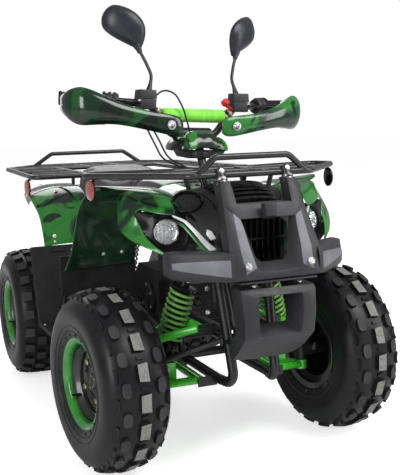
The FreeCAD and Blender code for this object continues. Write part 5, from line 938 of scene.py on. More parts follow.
def nose():
    """Black centre panel with an oval air mouth each side, a mesh field and a ridge."""
    shell, field, trim = Build(), Build(), Build()
    rows = [[(60, 0, 738), (60, 62, 736), (64, 116, 728), (82, 158, 712)],
            [(112, 0, 728), (112, 62, 726), (114, 112, 718), (122, 158, 694)],
            [(156, 0, 714), (156, 60, 711), (156, 106, 700), (152, 150, 672)],
            [(192, 0, 690), (192, 56, 687), (189, 98, 676), (180, 142, 645)],
            [(216, 0, 660), (216, 52, 657), (211, 88, 648), (201, 126, 622)],
            [(226, 0, 628), (226, 48, 626), (220, 80, 620), (210, 112, 600)],
            [(222, 0, 600), (221, 44, 598), (215, 72, 594), (204, 98, 582)]]
    shell.grid(sheet(rows[:5]))
    shell.grid(sheet(row[2:] for row in rows[4:]))
    shell.mirror()
    shell.piece("nose_panel", ["mesh"], thick=3.0, subdiv=3, angle=60)
    mouth = at(130, 152, 704)
    out = way(0.70, 0.42, 0.58)
    side = out.cross(UP).normalized()
    up = side.cross(out)
    loops = []
    for reach, level in ((1.08, -3), (1.05, 2), (1.0, 3), (0.94, 1), (0.88, -7)):
        loops.append([mouth + side * (math.cos(t) * 0.038 * reach) + up * (math.sin(t) * 0.030 * reach)
                      + out * (level * MM) for t in (2 * math.pi * k / 36 for k in range(36))])
    trim.grid(loops, 0, True)
    # A shallow near-black dish closes each mouth: painted shade of its depth.
    field.grid([loops[-1], [mouth - out * 0.007 + (place - mouth) * 0.05 for place in loops[-1]]], 0, True)
    ridge = curve(points([(116, 112, 724), (150, 102, 710), (184, 90, 686), (206, 76, 658)]), 6)
    trim.tube(ridge, [1.2] + [2.6] * (len(ridge) - 2) + [1.2], 8)
    for index in range(6):
        ahead, height = 96 + 18 * index, 741 - 2.2 * index - 0.9 * index * index
        slat = curve(points([(ahead + 4, 0, height), (ahead + 1, 28, height - 1), (ahead - 6, 56, height - 4),
                             (ahead - 16, 78, height - 8)]), 4)
        trim.grid([[place + Vector(step) for step in SLAT] for place in slat], 0, True, True)
    mirror_all(trim, field)
    trim.piece("nose_trim", ["gloss"], angle=40)
    field.piece("nose_mouths", ["painted_depth_shade"], angle=40)


def bumper_front(height):
    """How far ahead the guard's face stands at a height."""
    return 230 + 0.54 * (757 - height) if height > 562 else 336


def bumper():
    """Moulded guard: two uprights, cross bar, funnel-shaped window, wings and the skid below."""
    front = Build()
    outer = [(0, 528), (60, 528), (118, 529), (122, 590), (114, 655), (109, 702)]
    inner = [(0, 546), (50, 547), (62, 558), (68, 600), (72, 650), (75, 668)]
    rear = [(290, 0, 563), (290, 30, 564), (288, 42, 576), (280, 49, 605), (264, 61, 650), (258, 66, 668)]

    def face(half, height, back=0):
        return at(bumper_front(height) - back, half, height)

    def flat(*corners):
        front.add([face(*corner) for corner in corners], [list(range(len(corners)))])

    middle = [tuple((a + b) / 2 for a, b in zip(one, two)) for one, two in zip(outer, inner)]
    front.grid([[face(*pair, 4) for pair in outer], [face(*pair, -2) for pair in middle],
                [face(*pair) for pair in inner]])
    band = len(outer) - 1
    # The upper inner band of the uprights' face is painted grey as highlight.
    for index in range(band + 2, 2 * band):
        front.slots[index] = 1
    front.grid([[face(*pair) for pair in inner], points(rear)])
    top = [[(109, 702, 3), (91, 702, -2), (75, 702)], [(107, 730, 3), (91, 730, -2), (76, 730)],
           [(104, 757, 3), (91, 757, -2), (78, 757)]]
    front.grid([[face(*corner) for corner in row] for row in top])
    front.add([face(109, 702, 3), face(91, 702, -2), face(75, 702), face(75, 668), face(92, 678, -2)],
              [[0, 1, 4], [1, 2, 3, 4]])
    flat((75, 668), (75, 702), (0, 702), (0, 668))
    flat((75, 702), (0, 702), (0, 702, 30), (75, 702, 30))
    front.add([face(75, 668), face(0, 668), at(258, 0, 668), at(258, 66, 668)], [[0, 1, 2, 3]])
    side = [(118, 529), (122, 590), (114, 655), (109, 702), (107, 730), (104, 757)]
    front.grid([[face(*pair, 4 if pair[1] < 700 else 3) for pair in side], [face(*pair, 44) for pair in side]])
    inner_side = [(75, 702), (76, 730), (78, 757)]
    front.grid([[face(*pair) for pair in inner_side], [face(*pair, 42) for pair in inner_side]])
    flat((104, 757, 3), (91, 757, -2), (78, 757), (78, 757, 42), (104, 757, 44))
    flat((0, 528, 4), (60, 528, 4), (118, 529, 4), (118, 529, 44), (0, 528, 44))
    front.mirror()
    front.piece("bumper_frame", ["black", "facet_painted_lit"], nodes="bumper", thick=GUARD_WALL, bevel=2.2, angle=32,
                shift=-1.0)

    wings = Build()
    rows = []
    for half, ahead, low, high, back in ((112, 330, 527, 593, 60), (124, 326, 526, 595, 62),
                                         (150, 306, 526, 595, 60), (186, 278, 526, 594, 56),
                                         (218, 250, 526, 593, 50), (236, 233, 528, 591, 42),
                                         (243, 222, 534, 586, 34)):
        rise = 0.13 * max(0, half - 130)
        rows.append([at(ahead + step, half, height) for step, height in (
            (-back, low + 2), (-6, low), (0, low + 8), (1, low + 13 + rise), (-3, high - 16 - rise / 2),
            (-5, high - 12 - rise / 2), (-9, high - 3), (-14, high), (-back, high))])
    wings.grid(rows)
    # The wings' front faces are painted grey as highlight.
    for row in range(1, 5):
        wings.slots[8 * row + 3] = 1
    wings.add(rows[-1], [list(range(len(rows[-1])))])
    wings.mirror()
    wings.piece("bumper_wings", ["black", "facet_painted_lit"], bevel=1.6, angle=30)

    skid = Build()
    outline = [(0, 504, 322), (60, 504, 322), (97, 503, 318), (99, 494, 326), (96, 440, 334), (93, 388, 330),
               (90, 345, 284), (84, 316, 240), (60, 311, 236), (0, 311, 236)]
    hole = [(0, 488, 334), (50, 488, 334), (60, 486, 334), (62, 480, 335), (61, 440, 338), (58, 394, 333),
            (56, 388, 330), (50, 386, 329), (40, 386, 329), (0, 386, 329)]
    deep = [(0, 482, 276), (40, 482, 276), (46, 481, 276), (48, 477, 276), (47, 440, 276), (45, 414, 276),
            (44, 408, 276), (38, 406, 276), (30, 406, 276), (0, 406, 276)]

    def loop(rows_in):
        return [at(x, y, z) for y, z, x in rows_in]

    skid.grid([loop(outline), loop(hole)])
    skid.grid([loop(hole), loop(deep)])
    skid.grid([loop(outline[1:]), [at(x - 56 if z > 330 else x - 20, y, z) for y, z, x in outline[1:]]])
    skid.mirror()
    skid.piece("skid_shell", ["black"], nodes="skid_plate", thick=GUARD_WALL, bevel=2.0, angle=32)

    extras = Build()
    boss = [at(278 + x, y, z) for x, y, z in ((0, -17, 664), (0, 17, 664), (-4, 19, 702), (-4, -19, 702))]
    extras.block(boss, Vector((0.018, 0, 0.006)), 0, 0.86)
    extras.block(upright(331, -104, 104, 519, 524), Vector((-0.05, 0, 0)))
    extras.piece("bumper_boss", ["black"], bevel=2.0, angle=32)

    fixings = Build()
    for sign in (1, -1):
        fixings.bolt(at(337, sign * 84, 562), Vector((0.9, 0, 0.3)), 12.5, 0, "dome")
        fixings.bolt(at(316, sign * 62, 513), -UP, 9)
        post = at(216, sign * 91, 745)
        lean = way(-0.47, 0, 0.88)
        for shift in (0.002, 0.012):
            fixings.revolve([(0, 11.5), (0, 14.4), (2, 15), (6, 15), (8, 14.4), (8, 11.5)], post + lean * shift,
                            lean, 28, 1)
        fixings.revolve([(0, 11.2), (0, 12.6), (24, 12.6), (24, 11.2)], post + lean * 0.020, lean, 24, 2)
        fixings.bolt(post + lean * 0.036 + Vector((0.012, 0, 0.004)), Vector((0.9, 0, 0.3)), 9)
    fixings.piece("bumper_fixings", ["zinc", "steel", "rack"])


def grille():
    """Upright ribs behind the bumper's window and louvres above it."""
    build = Build()
    for index in range(9):
        half = -64 + 16 * index
        rib = [at(ahead, half + step, height) for ahead, step, height in (
            (216, -2.5, 552), (216, 2.5, 552), (214, 2.5, 664), (214, -2.5, 664))]
        build.block(rib, Vector((-0.014, 0, 0)), 0, 0.9)
    for height in (552, 608, 664):
        build.block(upright(218, -74, 74, height - 3.5, height + 3.5), Vector((-0.016, 0, 0)))
    # A thin near-black plate behind the ribs: painted shade.
    build.block(upright(201, -84, 84, 548, 688), Vector((-0.003, 0, 0)), 1)
    build.piece("grille_ribs", ["gloss", "painted_depth_shade"], nodes="grille", bevel=1.0)


front_fenders()
lamps()
nose()
bumper()
grille()


# Handlebar group

STEM, STEM_AXIS = hub_of("steering")
REST_TURN = math.radians(6.1)
TURNED = Matrix.Translation(STEM) @ Matrix.Rotation(REST_TURN, 4, STEM_AXIS) @ Matrix.Translation(-STEM)


def on_bars(build, name, mats, **rest):
    """A piece drawn with the bars straight ahead, turned to where they rest."""
    build.piece(name, mats, "handlebar_group", turn=TURNED, **rest)


def handguards():
    """Flared shells that sweep back round the bar's ends, green outside and black within, with a rolled lip painted
    bright as its highlight.
    """
    skin, lip, bolts = Build(), Build(), Build()
    stations = ((62, 15, 884, -114, 5, 78), (69, 24, 885, -110, 7, 80), (84, 29, 887, -107, 9, 82),
                (106, 30, 890, -106, 10, 82), (140, 28, 895, -107, 11, 84), (180, 27, 902, -109, 12, 86),
                (222, 28, 911, -112, 14, 90), (252, 31, 918, -116, 17, 95), (280, 37, 925, -121, 21, 104),
                (306, 45, 930, -127, 27, 116), (326, 51, 934, -133, 32, 126), (344, 53, 936, -141, 34, 132),
                (356, 49, 937, -151, 33, 134), (366, 42, 939, -163, 30, 134), (374, 32, 941, -177, 25, 132),
                (379, 20, 943, -191, 18, 130), (381, 9, 944, -201, 9, 128))
    rows, inside = [], []
    for half, tall, level, ahead, deep, wrap in stations:
        row, back = [], []
        for s in range(-6, 7):
            turn = math.radians(wrap) * s / 6
            for bag, cut in ((row, 0.0), (back, 2.6)):
                bag.append(at(ahead - cut - (deep - cut) * (1 - math.cos(turn)), half,
                              level + (tall - cut) * math.sin(turn)))
        rows.append(row)
        inside.append(back)
    skin.grid(rows)
    skin.grid(list(reversed(inside)), 1)
    skin.grid([[row[0] for row in face] + face[-1][1:] + [row[-1] for row in reversed(face[:-1])]
               for face in (rows, inside)], 1)
    skin.grid([rows[0], inside[0]], 1)
    skin.mirror()
    on_bars(skin, "guard_shells", ["camo", "black"], nodes="handguards", subdiv=2, angle=50)
    rim_line = curve([row[-1] for row in rows[-9:]] + [row[0] for row in reversed(rows[-9:])], 4)
    lip.tube(rim_line, [1.2] + [3.0] * (len(rim_line) - 2) + [1.2], 10)
    lip.mirror()
    # The lip takes the bright strip finish as the highlight along its rolled edge.
    on_bars(lip, "guard_lips", ["strip"], angle=50)
    for sign in (1, -1):
        bolts.bolt(at(-105, sign * 104, 889), Vector((1, 0, 0.05)), 18, 0, "dome")
    on_bars(bolts, "guard_bolts", ["zinc"])


def dash():
    """Ridged cover over the bar clamp, with its gauge set into the rear face."""
    hood, under, gauge = Build(), Build(), Build()
    rows = []
    for ahead, share, low in ((-92, 0.16, 828), (-95, 0.46, 825), (-106, 0.82, 822), (-130, 1.0, 821),
                              (-160, 0.96, 822), (-190, 0.80, 824), (-208, 0.62, 826)):
        row = []
        for half, high in ((-86, 824), (-80, 842), (-64, 858), (-52, 854), (-38, 868), (-22, 874), (0, 869),
                           (22, 875), (38, 867), (52, 856), (64, 858), (80, 842), (86, 824)):
            row.append(at(ahead, half * (0.55 + 0.45 * share), low + (high - 820) * share))
        rows.append(row)
    hood.grid(rows)
    for column, aside in ((0, 0.002), (-1, -0.002)):
        hood.grid([[row[column] for row in rows], [row[column] + Vector((0, aside, -0.007)) for row in rows]])
    hood.grid([rows[0], [vert + Vector((0.003, 0, -0.010)) for vert in rows[0]]])
    on_bars(hood, "dash_hood", ["camo"], nodes="dash_pod", thick=3.0, subdiv=2, angle=50)
    block = points([(-104, -54, 798), (-104, 54, 798), (-104, 70, 822), (-104, -70, 822)])
    under.block(block, Vector((-0.098, 0, 0.0)), 0, 0.72)
    for half in (-34, 0, 34):
        under.block(upright(-101, half - 9, half + 9, 800, 817), Vector((-0.05, 0, 0)))
    under.block(upright(-160, -34, 34, 838, 872), Vector((-0.034, 0, 0)))
    on_bars(under, "dash_under", ["black"], bevel=3.0)
    gauge.disc(at(-208, 0, 846), Vector((-0.80, 0, 0.60)),
               [(0, 28), (0, 33), (5, 34), (7, 32), (7, 29), (2, 27.5), (2, 0)], 0, 40)
    on_bars(gauge, "dash_gauge", ["gloss"])


def pad():
    """Padded sleeve on the crossbar with stitched ends and faint creases."""
    build = Build()
    shape = []
    for step in range(49):
        along = -101 + 202 * step / 48
        edge = min(1.0, (101 - abs(along)) / 5.0)
        crease = 0.35 * math.sin(along * 0.31) * math.sin(along * 0.083)
        swell = 19.2 * (0.62 + 0.38 * math.sqrt(max(edge, 0.0))) + crease
        if 84 < abs(along) < 88:
            swell -= 0.9
        shape.append((along, swell))
    build.revolve([(-101, 9)] + shape + [(101, 9)], at(-176, 0, 918), ASIDE, 40)
    on_bars(build, "pad_sleeve", ["pad"], nodes="crossbar_pad", angle=50)


def mirrors():
    """Black oval shells on bent stalks that thicken at the foot."""
    build = Build()
    knees = points([(-172, 150, 950), (-176, 136, 1000), (-182, 129, 1026), (-196, 143, 1066), (-206, 156, 1094)])
    stalk = bent(knees, 20)
    build.tube(stalk, [8.5 if index < 2 else max(4.6, 8.5 - 0.75 * index) for index in range(len(stalk))], 14)
    build.disc(at(-172, 150, 944), stalk[1] - stalk[0], [(0, 0), (0, 11), (10, 11), (12, 9), (12, 0)], 0, 6)
    build.tube(points([(-205, 154, 1088), (-208, 157, 1098), (-212, 163, 1110)]), [6.5, 8.5, 11], 14)
    centre = at(-228, 196, 1156)
    look = way(0.90, 0.42, -0.05)
    side = UP.cross(look).normalized()
    up = look.cross(side).normalized()
    outline = [(-46, -60), (-56, -42), (-62, -18), (-60, 8), (-47, 30), (-24, 48), (4, 59), (27, 61), (45, 51),
               (57, 33), (60, 14), (55, -3), (39, -18), (15, -32), (-10, -44), (-32, -54)]
    edge = curve([Vector((a, b, 0)) for a, b in outline], 3, True)
    rings = []
    for level, reach in ((17, 0.02), (16.6, 0.22), (15, 0.45), (12, 0.64), (7.5, 0.82), (1.5, 0.945), (-3, 1.0),
                         (-6.5, 1.0), (-8.5, 0.985), (-8.5, 0.93), (-6.5, 0.92)):
        rings.append([centre + side * ((-2 + (spot.x + 2) * reach) * MM) + up * ((5 + (spot.y - 5) * reach) * MM)
                      + look * (level * MM) for spot in edge])
    build.grid(rings, 0, True)
    heart = centre + side * (-2 * MM) + up * (5 * MM) - look * 0.0065
    build.grid([rings[-1], [heart + (vert - heart) * 0.02 for vert in rings[-1]]], 1, True)
    build.mirror()
    on_bars(build, "mirror_pair", ["mirror_shell", "glass"], nodes="mirrors")


def run_of(side):
    """The bar's straight outer run: its end and its direction outwards."""
    rise, end = at(-176, side * 138, 948), at(-246, side * 372, 958)
    return end, (end - rise).normalized()


SWITCH_IN, GRIP_IN = 0.1565, 0.118
SWITCH_BOX = [(0, 12), (0, 21), (3, 22.5), (16, 22.5), (17, 20.5), (19, 20.5), (20, 22.5), (36, 22.5), (38, 20),
              (38, 12)]
LEVER_LINE = ((-160, 176, 948), (-150, 206, 950), (-156, 250, 953), (-176, 322, 955), (-186, 344, 956))
LEVER_BALL = [(-7, 0), (-6, 4), (-3, 6.4), (0, 7), (3, 6.4), (6, 4), (7, 0)]


def controls():
    """Switch boxes, lever perches with a reservoir, levers with ball ends, grips with rings and flanges."""
    boxes, levers, grips, red = Build(), Build(), Build(), Build()
    for side in (1, -1):
        end, outward = run_of(side)
        ahead = UP.cross(outward).normalized() * side
        boxes.revolve(SWITCH_BOX, end - outward * SWITCH_IN, outward, 28)
        for near, far, wide in ((129, 138, 7), (143, 152, 6)):
            corners = [end - outward * (back * MM) + ahead * (forward * MM) + UP * (20 * MM)
                       for back, forward in ((near, -wide), (near, wide), (far, wide), (far, -wide))]
            boxes.block(corners, Vector((0, 0, 0.005)), 0, 0.8)
        for rear, front, near, far, low, tall, taper in ((-193, -158, 126, 174, 932, 0.028, 1.04),
                                                         (-195, -156, 124, 176, 961, 0.024, 0.92)):
            boxes.block([at(x, side * y, low) for x, y in ((rear, near), (front, near), (front, far), (rear, far))],
                        Vector((0, 0, tall)), 0, taper)
        for x, y in ((-188, 131), (-164, 131), (-164, 169), (-188, 169)):
            boxes.bolt(at(x, side * y, 984.5), UP, 4, 2, "dome")
        blade = curve([at(x, side * y, z) for x, y, z in LEVER_LINE], 6)
        root = blade[0]
        levers.tube(blade, [6.5, 6.5] + [5.0] * (len(blade) - 2), 12, 0, True, 0.6)
        levers.disc(at(-188, side * 348, 956), Vector((0, side, 0)), LEVER_BALL, 0, 16)
        levers.bolt(root + UP * 0.006, UP, 9, 1)
        shape = [(-2, 11.5), (-2, 25), (1.5, 26), (4, 24.5), (5, 17)]
        for ring in range(17):
            start = 7 + ring * 6.3
            shape += [(start, 16.6), (start + 0.8, 17.6), (start + 4.2, 17.6), (start + 5.0, 16.6)]
        shape += [(115, 17), (117, 19.5), (121.5, 19.5), (123.5, 17), (123.5, 0)]
        grips.disc(end - outward * GRIP_IN, outward, shape, 0, 30)
    clamp = Build()
    for side in (1, -1):
        for half in (107, 118):
            middle = at(-176, side * half, 916 + (half - 107) * 1.1)
            clamp.revolve([(-3.5, 11.2), (-3.5, 15), (3.5, 15), (3.5, 11.2)], middle,
                          Vector((0, side * 0.63, 0.77)), 24)
        clamp.bolt(at(-160, side * 114, 924), FORE, 8)
    red.disc(at(-164, 99, 958), Vector((0.8, 0.2, 0.5)),
             [(-9, 0), (-9, 9), (-6, 10.5), (6, 10.5), (9, 8.5), (9, 0)])
    red.block(points([(-166, 92, 950), (-154, 104, 946), (-154, 122, 936), (-166, 112, 938)]),
              Vector((-0.006, 0, 0.006)), 0, 0.9)
    on_bars(boxes, "switch_boxes", ["black", "gloss", "zinc"], nodes="levers", bevel=1.4)
    on_bars(levers, "lever_blades", ["gloss", "zinc"], angle=40)
    on_bars(grips, "grip_sleeves", ["grip"], nodes="grips")
    on_bars(clamp, "bar_clamps", ["zinc_dull"])
    on_bars(red, "stop_switch", ["red_plastic"], bevel=0.8)


handguards()
dash()
pad()
controls()
mirrors()


# Rear covers, seat, foot trays and lights

def rear_covers():
    """Broad rear fenders joined by the deck behind the seat, with a folded lip."""
    build = Build()
    rows = [[(-703, 326, 500), (-698, 270, 503), (-694, 205, 505), (-690, 150, 506)],
            [(-716, 324, 520), (-710, 268, 530), (-704, 205, 540), (-698, 150, 548)],
            [(-760, 319, 560), (-752, 264, 576), (-742, 204, 586), (-732, 150, 590)],
            [(-830, 311, 606), (-820, 258, 630), (-804, 200, 642), (-790, 150, 646)],
            [(-895, 318, 640), (-884, 262, 662), (-866, 200, 674), (-852, 150, 676)],
            [(-955, 318, 662), (-944, 264, 678), (-930, 206, 684), (-920, 150, 685)],
            [(-1060, 312, 662), (-1050, 262, 682), (-1040, 206, 686), (-1030, 150, 686)],
            [(-1150, 294, 642), (-1146, 250, 668), (-1142, 204, 674), (-1140, 150, 674)],
            [(-1226, 262, 600), (-1230, 236, 630), (-1234, 196, 640), (-1236, 150, 642)]]
    build.grid(sheet(rows))
    lip = [[(x, y, z), (x + 2, y + 4, z - 6), (x + 4, y + 1, z - 16)] for (x, y, z), *_ in rows]
    build.grid(sheet(lip))
    build.mirror()
    deck = [(-1016, 152, 672), (-1090, 152, 672), (-1180, 152, 664), (-1238, 152, 648), (-1245, 140, 596)]
    build.grid([[at(ahead, half, height) for half in (-edge, -80, 0, 80, edge)] for ahead, edge, height in deck])
    build.piece("fenders_rear", ["camo"], nodes="rear_body", thick=COVER_WALL, subdiv=2, angle=60)
    fixings = Build()
    for sign in (1, -1):
        for place, out in (((-714, sign * 292, 530), (0.9, 0, 0.3)), ((-706, sign * 292, 512), (0.9, 0, 0.2)),
                           ((-880, sign * 240, 668), (0.2, 0, 0.9)), ((-1120, sign * 240, 676), (0, 0, 1))):
            fixings.bolt(at(*place), Vector(out), 9, 0, "dome")
    fixings.piece("fender_screws", ["zinc"])


def both_ways(arch):
    """An arch from its left foot to its top, carried on to its right foot."""
    return arch + [(-share, rise) for share, rise in reversed(arch[:-1])]


TANK_ARCH = [(-1.0, 0.0), (-1.0, 0.5), (-0.97, 0.80), (-0.82, 0.95), (-0.5, 1.0), (0.0, 1.0)]
SEAT_ARCH = [(-0.94, 0.02), (-0.99, 0.25), (-1.0, 0.55), (-0.96, 0.80), (-0.86, 0.93), (-0.6, 0.99), (-0.3, 1.0),
             (0.0, 1.0)]
SEAT_FOOT = 635


def tank():
    """Cover between the bars and the seat with a filler cap."""
    build = Build()
    rows = []
    for ahead, wide, top, low in ((-154, 112, 728, 640), (-180, 114, 737, 638), (-230, 112, 745, 636),
                                  (-290, 112, 747, 636), (-340, 115, 744, 636), (-368, 116, 738, 636)):
        rows.append([at(ahead, wide * share, low + rise * (top - low)) for share, rise in both_ways(TANK_ARCH)])
    build.grid(rows)
    build.piece("tank_shell", ["camo"], nodes="tank_cover", thick=3.0, subdiv=1, angle=50)
    cap = Build()
    shape = [(-6, 0), (-6, 26), (0, 28), (12, 28), (15, 25), (15, 12), (12, 10), (12, 0)]
    cap.disc(at(-262, 0, 746), UP, shape, 0, 32)
    for index in range(16):
        turn = 2 * math.pi * index / 16
        ray = Vector((math.cos(turn), math.sin(turn), 0))
        cap.tube([at(-262, 0, 747) + ray * 0.0282, at(-262, 0, 758) + ray * 0.0282], 1.4, 6)
    cap.piece("filler_cap", ["gloss"])


def cushion():
    """Seat: a stuffed cover drawn in round its base."""
    build = Build()
    rows = []
    for ahead, wide, top in ((-373, 96, 722), (-386, 114, 738), (-430, 124, 741), (-520, 130, 728),
                             (-610, 132, 722), (-720, 133, 727), (-830, 134, 739), (-930, 133, 743),
                             (-985, 126, 738), (-1006, 108, 722)):
        rows.append([at(ahead, wide * share, SEAT_FOOT + rise * (top - SEAT_FOOT))
                     for share, rise in both_ways(SEAT_ARCH)])
    build.grid(rows, 0, True, True)
    item = build.piece("seat_cover", ["vinyl"], nodes="seat", angle=60)
    shape_cloth(item)
    return item


CLOTH_VOXEL, CLOTH_HELD, CLOTH_REACH, CLOTH_FRAMES = 0.006, 0.020, 0.006, 20
CLOTH_RULES = {"quality": 6, "mass": 0.4, "tension_stiffness": 25, "compression_stiffness": 25,
               "shear_stiffness": 8, "bending_stiffness": 0.6, "use_pressure": True, "uniform_pressure_force": 4,
               "vertex_group_mass": "held"}


def shape_cloth(item):
    """Remeshes the cover, fills it with pressure and lets the cloth settle."""
    mesh = item.modifiers.new("even", "REMESH")
    mesh.mode = "VOXEL"
    mesh.voxel_size = CLOTH_VOXEL
    settle(item)
    before = [vert.co.copy() for vert in item.data.vertices]
    low = min(vert.z for vert in before)
    held = item.vertex_groups.new(name="held")
    for index, place in enumerate(before):
        if place.z < low + CLOTH_HELD:
            held.add([index], 1.0, "REPLACE")
    cloth = item.modifiers.new("cloth", "CLOTH")
    for key, value in CLOTH_RULES.items():
        setattr(cloth.settings, key, value)
    cloth.settings.effector_weights.gravity = 0
    scene = bpy.context.scene
    for times in (scene, cloth.point_cache):
        times.frame_start, times.frame_end = 1, CLOTH_FRAMES
    for frame_number in range(1, CLOTH_FRAMES + 1):
        scene.frame_set(frame_number)
    settle(item)
    scene.frame_set(1)
    for vert, place in zip(item.data.vertices, before):
        step = vert.co - place
        if step.length > CLOTH_REACH:
            vert.co = place + step.normalized() * CLOTH_REACH
    item.data.update()


def foot_trays():
    """Ribbed foot floors with raised toe and heel walls, pegs and their fixings."""
    build, teeth, screws = Build(), Build(), Build()
    line = [(-252, 420), (-300, 350), (-352, 284), (-372, 268), (-420, 266), (-588, 266), (-606, 284), (-640, 390),
            (-682, 504)]
    build.grid([[at(ahead, wide, height) for ahead, height in line] for wide in (142, 200, 260, 320, 372, 380)])
    build.grid([[at(ahead, 380, height) for ahead, height in line],
                [at(ahead - (3 if ahead < -500 else -3), 381, height - 10) for ahead, height in line]])
    for index in range(9):
        ahead = -400 - 22 * index
        corners = [at(ahead + step, half, 266) for step, half in ((-4, 160), (4, 160), (4, 366), (-4, 366))]
        teeth.block(corners, Vector((0, 0, 0.005)), 0, 0.97)
    for index in range(4):
        along = index / 3
        for wide in (190, 290):
            low = at(-612 - 60 * along, wide - 22, 306 + 176 * along)
            teeth.block([low + Vector(step) for step in ((0, 0, 0), (0, 0.044, 0), (-0.004, 0.044, 0.012),
                                                         (-0.004, 0, 0.012))], Vector((0.004, 0, 0.0015)), 0, 0.94)
    for place, out in (((-676, 244, 486), (0.9, 0, -0.4)), ((-664, 244, 460), (0.9, 0, -0.4)),
                       ((-672, 170, 480), (0.9, 0, -0.4)), ((-276, 368, 388), (0.8, 0, 0.5)),
                       ((-322, 368, 324), (0.8, 0, 0.5)), ((-420, 372, 267), (0, 0, 1)),
                       ((-560, 372, 267), (0, 0, 1))):
        screws.bolt(at(*place), Vector(out), 9, 0, "dome")
    mirror_all(build, teeth, screws)
    build.piece("foot_trays", ["flap"], nodes="footwells", thick=GUARD_WALL)
    teeth.piece("tray_ribs", ["flap"], bevel=1.0)
    screws.piece("tray_screws", ["zinc"])


def lights():
    """Round side reflectors in black cups and the tail lamp."""
    discs, cups = Build(), Build()
    for place, lean in ((at(-24, 350, 733), 0.12), (at(-650, 382, 703), 0.05)):
        out = way(lean, 1, 0)
        discs.disc(place, out, [(4, 0), (4, 26.5), (7, 26.0), (9, 24), (10, 19), (10.5, 0)], 0, 36)
        cups.disc(place, out, [(0, 0), (0, 22), (2, 27.2), (5, 27.4), (6, 26), (4, 25.6), (4, 0)], 0, 36)
        cups.tube([place + Vector((0, -0.002, 0.022)), place + Vector((0, -0.006, 0.034))], 4.5, 10)
    mirror_all(discs, cups)
    discs.piece("reflector_discs", ["red"], nodes="reflectors")
    cups.piece("reflector_cups", ["gloss"])
    tail = Build()
    tail.block(upright(-1251, -68, 68, 602, 642), Vector((-0.016, 0, 0)), 0, 0.94)
    tail.piece("tail_lens", ["red"], nodes="tail_lamp", bevel=2.0)


rear_covers()
tank()
SEAT = cushion()
foot_trays()
lights()


# Springs, engine and muffler trim, seat welt

MUFFLER, MUFFLER_HALF, MUFFLER_HEIGHT = 46, -148, 520


def fronts():
    """Coil springs round the dampers, with the dampers' seats, collars and eyes."""
    coils, dampers = Build(), Build()
    top, foot = at(27.5, 118, 488), at(-11.5, 183, 248)
    run = (foot - top).normalized()
    side, other = axes_of(run, FORE)
    start, end, turns = 0.030, 0.170, 9.2
    route = []
    steps = int(turns * 16)
    for index in range(steps + 1):
        share = index / steps
        spin = 2 * math.pi * turns * share
        wide = (31 + 2 * math.sin(math.pi * share)) * MM
        route.append(top + run * (start + (end - start) * share) + spoke(side, other, spin) * wide)
    coils.tube(route, 4.4, 10)
    coils.mirror()
    coils.piece("spring_coils", ["spring"], nodes="front_springs", angle=50)
    upper = [(-6, 0), (-6, 9), (4, 13), (14, 15), (20, 15), (22, 34), (26, 36), (30, 34), (31, 14), (150, 14),
             (151, 0)]
    dampers.disc(top, run, upper, 0, 28)
    lower = [(148, 0), (148, 19), (152, 21), (169, 21), (171, 34), (176, 36), (180, 34), (181, 21), (214, 20.5),
             (222, 16), (236, 10), (240, 0)]
    dampers.disc(top, run, lower, 0, 28)
    for level in (190, 197, 204):
        dampers.revolve([(level, 20), (level, 22.4), (level + 3.5, 22.4), (level + 3.5, 20)], top, run, 28)
    for place in (top, foot):
        dampers.disc(place - FORE * 0.019, FORE, [(0, 0), (0, 12), (38, 12), (38, 0)], 0, 20)
        for sign in (1, -1):
            dampers.bolt(place + FORE * (0.019 * sign), FORE * sign, 13, 1)
    dampers.mirror()
    dampers.piece("damper_bodies", ["gloss", "zinc"])


fronts()


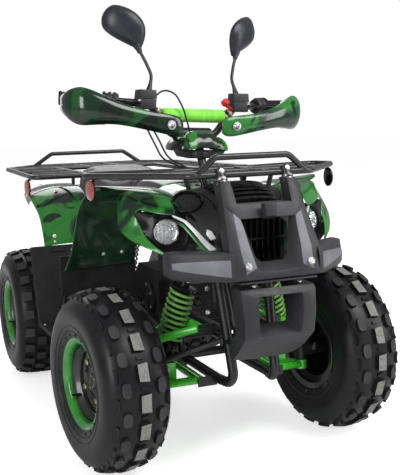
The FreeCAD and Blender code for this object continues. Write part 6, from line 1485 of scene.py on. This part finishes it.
def drive():
    """Side covers of the crankcase, the muffler's end cap and bands, and nuts on the cylinder head."""
    covers, pipe = Build(), Build()
    for half, ahead, height, wide in ((70, -392, 336, 46), (-70, -402, 352, 52), (-70, -505, 330, 36)):
        out = ASIDE if half > 0 else -ASIDE
        covers.disc(at(ahead, half, height), out, [(0, 0), (0, wide), (7, wide - 1), (10, wide - 4),
                                                   (10, wide * 0.66), (7, wide * 0.62), (7, wide * 0.30),
                                                   (11, wide * 0.26), (11, 0)], 0, 40)
        for step in range(6):
            turn = math.radians(30 + 60 * step)
            place = at(ahead + wide * 0.84 * math.cos(turn), half + 10 * out.y,
                       height + wide * 0.84 * math.sin(turn))
            covers.bolt(place, out, 7, 1)
    for level in (318, 342):
        rib = points([(-452, -70.2, level), (-548, -70.2, level), (-548, -70.2, level + 5),
                      (-452, -70.2, level + 5)])
        covers.block(rib, Vector((0, -0.004, 0)))
    for half in (-36, 36):
        for height in (336, 408):
            covers.bolt(at(-190, half, height), FORE, 11, 1)
    head_cap = [(0, 0), (0, 24), (5, 24), (7, 22), (7, 14), (12, 13), (22, 7), (22, 0)]
    covers.disc(at(-190, 0, 372), FORE, head_cap, 0, 28)
    covers.piece("engine_covers", ["casing", "zinc"])
    for ahead, depth, over in ((-1212, 8, 1.5), (-1030, 9, 1.2), (-1150, 9, 1.2)):
        pipe.revolve([(0, MUFFLER - 3), (0, MUFFLER + over), (depth, MUFFLER + over), (depth, MUFFLER - 3)],
                     at(ahead, MUFFLER_HALF, MUFFLER_HEIGHT), FORE, 36)
    pipe.disc(at(-1204, MUFFLER_HALF, MUFFLER_HEIGHT), -FORE,
              [(-2, MUFFLER - 2), (1, MUFFLER - 2), (3, MUFFLER - 8), (3, 12), (6, 11.5), (6, 9.5), (-4, 9),
               (-4, 0)], 0, 36)
    pipe.piece("muffler_trim", ["exhaust"])


WELT_LEVEL, WELT_RISE = 741, 0.0006


def piping(item):
    """Welt sewn round the seat's top edge, laid on the finished cover."""
    inner = [(-385, 84), (-400, 104), (-440, 116), (-530, 122), (-640, 124), (-760, 125), (-880, 125), (-950, 122),
             (-988, 112), (-1000, 90)]
    knots = [at(ahead, half, WELT_LEVEL) for ahead, half in inner]
    knots += [at(ahead, -half, WELT_LEVEL) for ahead, half in reversed(inner)]
    line = []
    for place in curve(knots, 6, True):
        hit = item.closest_point_on_mesh(place)
        line.append(hit[1] + hit[2] * WELT_RISE)
    welt = Build()
    welt.tube(line + [line[0]], 2.0, 8, 0, caps=False)
    welt.piece("seat_welt", ["gloss"], angle=60)


drive()
piping(SEAT)
